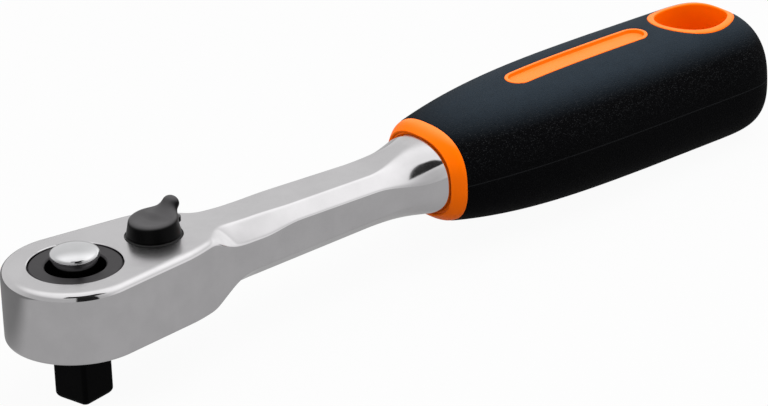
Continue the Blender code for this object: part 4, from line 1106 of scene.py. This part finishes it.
def plastic(name, tint, painted_sheen, painted_sheen_from, rough, grain_depth, specular):
    """Moulded plastic: a faint mottle in colour and sheen, a fine grain, and a painted sheen: paler colour on
    faces that look up.
    """
    material, shader, place, _ = new_material(name)
    mottle = noise(place, 160.0, 3.0)
    base = mix_colours(mottle, tuple(c * 0.93 for c in tint), tuple(min(c * 1.05, 1.0) for c in tint))
    geometry = place.node("ShaderNodeNewGeometry", output="Normal")
    up = place.node("ShaderNodeSeparateXYZ", None, {0: geometry}, output=2)
    # Painted sheen: faces that look up get a paler colour, standing in for the light from above
    base = mix_colours(step_between(up, painted_sheen_from, 0.95) * (0.7 + 0.5 * mottle), base, painted_sheen)
    feed(
        shader,
        Base_Color=base,
        Roughness=rough + 0.08 * mottle,
        Normal=bump(noise(place, 3200.0, 2.0), grain_depth),
        Specular_IOR_Level=specular,
    )
    return material


def grip_rubber(finish, handle):
    """Soft shell: pebbled all over, smoother on top with a painted sheen there, painted glints on the
    pebbles' peaks, and a faint lighter parting line at the axis.
    """
    material, shader, place, (_, _, z) = new_material("grip_rubber")
    # Top band of the shell: smoother, and carrying a painted sheen
    upper = step_between(z, AXIS_Z + handle.half_height * 0.55, AXIS_Z + handle.half_height * 0.95)
    cells = {"Vector": place, "Scale": 2600.0}
    pebbles = place.node("ShaderNodeTexVoronoi", None, cells)
    cell_colour = place.node("ShaderNodeTexVoronoi", None, cells, output=1)
    chance = place.node("ShaderNodeSeparateColor", None, {0: cell_colour})
    peaks = 1.0 - step_between(pebbles, 0.1, 0.6)
    flank = step_between(z, AXIS_Z - handle.half_height * 0.1, AXIS_Z + handle.half_height * 0.6)
    # Painted glints: lighter specks on some pebble peaks, mostly on the upper flanks
    painted_glint = peaks * step_between(chance, 0.2, 1.0) * (0.2 + flank)
    line = (z - AXIS_Z) * (z - AXIS_Z)
    parting = 1.0 - step_between(line, 2.5e-9, 3.2e-8)
    sheen_and_roughness_noise = noise(place, 300.0, 5.0, 0.65)
    # Painted sheen: paler bluish colour over the top band, varied by noise
    base = mix_colours(upper * (0.7 + 0.4 * sheen_and_roughness_noise), finish.grip_rubber, finish.grip_painted_sheen)
    # Share of painted glints and of the lighter parting line in the colour
    bright = 0.14 * parting + 0.24 * painted_glint * (1.0 - 0.6 * upper)
    feed(
        shader,
        Base_Color=mix_colours(bright, base, finish.grip_painted_glint_and_line),
        Roughness=0.62 - 0.12 * upper + 0.1 * sheen_and_roughness_noise,
        Normal=bump(parting, 0.00006, 0.5, bump(peaks * (1.0 - 0.55 * upper), 0.00016, 0.9)),
        Specular_IOR_Level=0.03,
    )
    return material


def seal_rubber(finish):
    """Matte rubber of the sealing rings."""
    material, shader, place, _ = new_material("seal_rubber")
    feed(
        shader,
        Base_Color=(*finish.seal_rubber, 1.0),
        Roughness=0.6 + 0.15 * noise(place, 900.0),
        Normal=bump(noise(place, 2500.0), 0.00001),
    )
    return material


# Stage

def aimed(place, aim, roll=0.0):
    """Matrix at a place, looking at another with a turn about the line of sight."""
    back = (place - aim).normalized()
    turn = back.to_track_quat("Z", "Y").to_matrix().to_4x4()
    return Matrix.Translation(place) @ turn @ Matrix.Rotation(roll, 4, "Z")


def add_camera(s):
    """Camera of the photograph."""
    aim = Vector((s.aim_x, s.aim_y, s.aim_z))
    level = math.cos(s.elevation)
    back = Vector((math.sin(s.azimuth) * level, -math.cos(s.azimuth) * level, math.sin(s.elevation)))
    data = bpy.data.cameras.new("photo_camera")
    data.lens = s.lens
    data.clip_end = 50.0
    camera = bpy.data.objects.new("photo_camera", data)
    camera.matrix_world = aimed(aim + back * s.distance, aim, s.roll)
    bpy.context.scene.collection.objects.link(camera)
    bpy.context.scene.camera = camera
    return back


def add_lamp(name, place, size, aim, power):
    """Soft box of that width and height."""
    data = bpy.data.lights.new(name, "AREA")
    data.shape = "RECTANGLE"
    data.size, data.size_y = size
    data.energy = power
    lamp = bpy.data.objects.new(name, data)
    lamp.visible_glossy = False
    lamp.matrix_world = aimed(Vector(place), Vector(aim))
    bpy.context.scene.collection.objects.link(lamp)


def add_world(s, camera_back):
    """Studio walls: bright behind the object, overhead and to the right, with a dark gap between the panels
    beside the camera and a dark seam above it."""
    world = bpy.data.worlds.new("studio")
    bpy.context.scene.world = world
    world.use_nodes = True
    tree = world.node_tree
    way = Value(tree, tree.nodes.new("ShaderNodeTexCoord").outputs["Generated"])
    front_way = Vector((camera_back.x, camera_back.y, 0.0)).normalized()
    front_way.rotate(Matrix.Rotation(s.gap_turn, 3, "Z"))
    side_way = Vector((-front_way.y, front_way.x, 0.0))

    def toward(direction):
        """Cosine of the angle between the way looked and a direction."""
        inputs = {0: way, 1: direction}
        return way.node("ShaderNodeVectorMath", {"operation": "DOT_PRODUCT"}, inputs, output=1)

    front = toward(front_way)
    side = toward(side_way)
    rise = toward((0.0, 0.0, 1.0))
    aside = side.maths("ABSOLUTE", side, 0.0)
    soft = GAP_SOFT
    gap_side = step_between(s.gap_width * front - aside, -soft, soft)
    gap = gap_side * (1.0 - step_between(rise, s.seam_low, s.seam_high))
    seam_side = step_between(s.seam_width * front - aside, -soft, soft)
    seam_end = 1.0 - step_between(rise, s.seam_high, s.seam_high + soft)
    seam = seam_side * step_between(rise, s.seam_low - soft, s.seam_low) * seam_end
    dark = gap.maths("MAXIMUM", gap, seam)
    behind = step_between(front, *BACK_WALL)
    overhead = step_between(rise, *CEILING)
    right = step_between(side, *RIGHT_WALL_SIDE) * step_between(rise, *RIGHT_WALL_RISE)
    low_end = 1.0 - step_between(rise, *LOW_PANEL_TOP)
    low = step_between(side, *LOW_PANEL_SIDE) * step_between(rise, *LOW_PANEL_FOOT) * low_end
    level = s.sky + s.sky_behind * behind + s.sky_overhead * overhead + s.sky_right * right + s.sky_low * low
    shell = tree.nodes["Background"]
    tree.links.new((level * (1.0 - GAP_DARK * dark)).socket, shell.inputs["Color"])


def add_floor(s):
    """Pale floor under the drive's end and the handle's belly, on which the tool lies tilted."""
    h = bpy.context.scene.ratchet_handle
    belly = np.linspace(h.front_x, h.end_x - h.eye_rim, 200)
    tip_x = bpy.context.scene.ratchet_drive.square_half
    slope = np.min((AXIS_Z - handle_height(h, belly, np.zeros(1)) - GEAR_LOW.z) / (belly - tip_x))
    reach = np.array((-1.0, 1.0)) * s.floor_size
    x, y = np.meshgrid(reach, reach, indexing="ij")
    grid = stack(x, y, GEAR_LOW.z + slope * (x - tip_x))
    floor = surface("floor", grid, fill=False)
    material, shader, _, (along, depth, _) = new_material("pale_floor")
    tree = material.node_tree
    grey = (s.floor_grey, s.floor_grey, s.floor_grey, 1.0)
    feed(shader, Base_Color=grey, Roughness=0.9, Specular_IOR_Level=0.1)
    path = tree.nodes.new("ShaderNodeLightPath")
    seen, mirrored, through = (
        Value(tree, path.outputs[name]) for name in ("Is Camera Ray", "Is Glossy Ray", "Is Transmission Ray")
    )
    # Painted shadow of the head on the floor behind it, seen only in the metal
    behind = step_between(depth, *PAINTED_SHADOW_Y) * (1.0 - step_between(along, *PAINTED_SHADOW_X))

    def glow(strength):
        """White that gives off its own light."""
        return seen.node("ShaderNodeEmission", None, {"Strength": strength})

    def mixed(factor, first, second):
        """Mix of two shaders by a factor."""
        return seen.node("ShaderNodeMixShader", None, {0: factor, 1: first, 2: second})

    in_metal = mixed(behind, glow(s.floor_mirror), glow(s.floor_painted_shadow))
    lit = mixed((mirrored + through) * FLOOR_IN_METAL, Value(tree, shader.outputs[0]), in_metal)
    shown = mixed(seen * s.floor_white, lit, glow(1.0))
    tree.links.new(shown.socket, tree.nodes["Material Output"].inputs["Surface"])
    floor.data.materials.append(material)


# Operators

class RATCHET_OT_body(bpy.types.Operator):
    """Builds the chrome body: head, shank and flare"""

    bl_idname = "ratchet.body"
    bl_label = "Forged body"
    bl_options = {"REGISTER", "UNDO"}

    def execute(self, context):
        finish = context.scene.ratchet_finish
        chrome = metal("chrome", finish.chrome, 0.05, 0.04, satin_above=HEAD_TOP - 0.00003)
        dress(build_body(context), "frame", "chrome", chrome, "ratchet_body")
        return {"FINISHED"}


class RATCHET_OT_drive(bpy.types.Operator):
    """Builds the drive: hub, gear and square"""

    bl_idname = "ratchet.drive"
    bl_label = "Drive"
    bl_options = {"REGISTER", "UNDO"}

    def execute(self, context):
        steel = blacked_steel(context.scene.ratchet_finish)
        dress(build_drive(context), "drive", "black_steel", steel, "drive_gear")
        return {"FINISHED"}


class RATCHET_OT_button(bpy.types.Operator):
    """Builds the domed release button and the spring that it presses"""

    bl_idname = "ratchet.button"
    bl_label = "Release button"
    bl_options = {"REGISTER", "UNDO"}

    def execute(self, context):
        finish = context.scene.ratchet_finish
        chrome = metal("button_chrome", finish.button_chrome, 0.05, 0.04)
        dress(build_button(context), "button", "button_chrome", chrome, "release_button")
        wire = metal("spring_steel", finish.spring_steel, 0.25, 0.08)
        spring = build_spring(context)
        dress(spring, "drive", "spring_steel", wire, "release_spring")
        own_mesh(spring)
        return {"FINISHED"}


class RATCHET_OT_lever(bpy.types.Operator):
    """Builds the thumb lever and its sealing ring"""

    bl_idname = "ratchet.lever"
    bl_label = "Thumb lever"
    bl_options = {"REGISTER", "UNDO"}

    def execute(self, context):
        finish = context.scene.ratchet_finish
        # Black lever with a painted sheen on its upward faces
        tints = finish.black_plastic, finish.painted_sheen_plastic
        look = {"painted_sheen_from": 0.3, "rough": 0.34, "grain_depth": 0.000006, "specular": 0.08}
        black = plastic("black_plastic", *tints, **look)
        dress(build_lever(context), "selector", "black_plastic", black, "selector_lever")
        dress(build_seal(context), "selector", "seal_rubber", seal_rubber(finish), "lever_seal")
        return {"FINISHED"}


class RATCHET_OT_core(bpy.types.Operator):
    """Builds what shows of the hard core: collar, label panel and the eye's lining"""

    bl_idname = "ratchet.core"
    bl_label = "Hard core"
    bl_options = {"REGISTER", "UNDO"}

    def execute(self, context):
        finish = context.scene.ratchet_finish
        # Orange core with a painted sheen on its upward faces
        tints = finish.orange_plastic, finish.orange_painted_sheen
        look = {"painted_sheen_from": 0.7, "rough": 0.3, "grain_depth": 0.000005, "specular": 0.05}
        orange = plastic("orange_plastic", *tints, **look)
        for build in (build_collar, build_label, build_eye):
            dress(build(context), "frame", "orange_plastic", orange, "handle_core")
        return {"FINISHED"}


class RATCHET_OT_grip(bpy.types.Operator):
    """Builds the soft shell of the handle"""

    bl_idname = "ratchet.grip"
    bl_label = "Soft grip"
    bl_options = {"REGISTER", "UNDO"}

    def execute(self, context):
        rubber = grip_rubber(context.scene.ratchet_finish, context.scene.ratchet_handle)
        dress(build_grip(context), "frame", "grip_rubber", rubber, "handle_grip")
        return {"FINISHED"}


class RATCHET_OT_nodes(bpy.types.Operator):
    """Gives the CAD nodes that stay in view their finishes"""

    bl_idname = "ratchet.nodes"
    bl_label = "CAD nodes"
    bl_options = {"REGISTER", "UNDO"}

    def execute(self, context):
        finish = context.scene.ratchet_finish
        finishes = {
            "bright_steel": metal("bright_steel", finish.bright_steel, 0.24, 0.10, (1.0, 0.05, 1.0)),
            "spring_steel": bpy.data.materials["spring_steel"],
            "black_steel": bpy.data.materials["black_steel"],
            "seal_rubber": bpy.data.materials["seal_rubber"],
        }
        for part in frame["record"]["subparts"]:
            node = frame["nodes"][part["node"]]
            if part["material_slot"] in finishes and not node.hide_render:
                node.data.materials.clear()
                node.data.materials.append(finishes[part["material_slot"]])
        return {"FINISHED"}


class RATCHET_OT_stage(bpy.types.Operator):
    """Sets the camera, the pale floor, the studio walls and the lamps"""

    bl_idname = "ratchet.stage"
    bl_label = "Stage"
    bl_options = {"REGISTER", "UNDO"}

    def execute(self, context):
        s = context.scene.ratchet_stage
        context.scene.view_settings.view_transform = "Standard"
        back = add_camera(s)
        add_world(s, back)
        add_floor(s)
        middle = (s.aim_x, 0.0, AXIS_Z)
        add_lamp("overhead", *OVERHEAD_LAMP, middle, s.key_power)
        add_lamp("side", *SIDE_LAMP, middle, s.rim_power)
        return {"FINISHED"}


class RATCHET_PT_panel(bpy.types.Panel):
    """Lists the ratchet's pieces in the sidebar"""

    bl_idname = "RATCHET_PT_panel"
    bl_label = "Ratchet"
    bl_space_type = "VIEW_3D"
    bl_region_type = "UI"
    bl_category = "Ratchet"

    def draw(self, context):
        for operator in OPERATORS:
            self.layout.operator(operator.bl_idname)
        for name in GROUPS:
            group = getattr(context.scene, name)
            box = self.layout.box()
            for setting in group.bl_rna.properties.keys():
                if setting not in ("rna_type", "name"):
                    box.prop(group, setting)


OPERATORS = (
    RATCHET_OT_body, RATCHET_OT_drive, RATCHET_OT_button, RATCHET_OT_lever, RATCHET_OT_core, RATCHET_OT_grip,
    RATCHET_OT_nodes, RATCHET_OT_stage,
)
CLASSES = (*GROUPS.values(), *OPERATORS, RATCHET_PT_panel)


def register():
    """Adds the classes and gives the scene its groups of settings."""
    for cls in CLASSES:
        bpy.utils.register_class(cls)
    for name, group in GROUPS.items():
        setattr(bpy.types.Scene, name, PointerProperty(type=group))


def unregister():
    """Takes the groups of settings and the classes away again."""
    for name in GROUPS:
        delattr(bpy.types.Scene, name)
    for cls in reversed(CLASSES):
        bpy.utils.unregister_class(cls)


def main():
    """Registers the classes and runs every operator in order."""
    register()
    for operator in OPERATORS:
        group, name = operator.bl_idname.split(".")
        getattr(getattr(bpy.ops, group), name)()


if __name__ == "__main__":
    main()
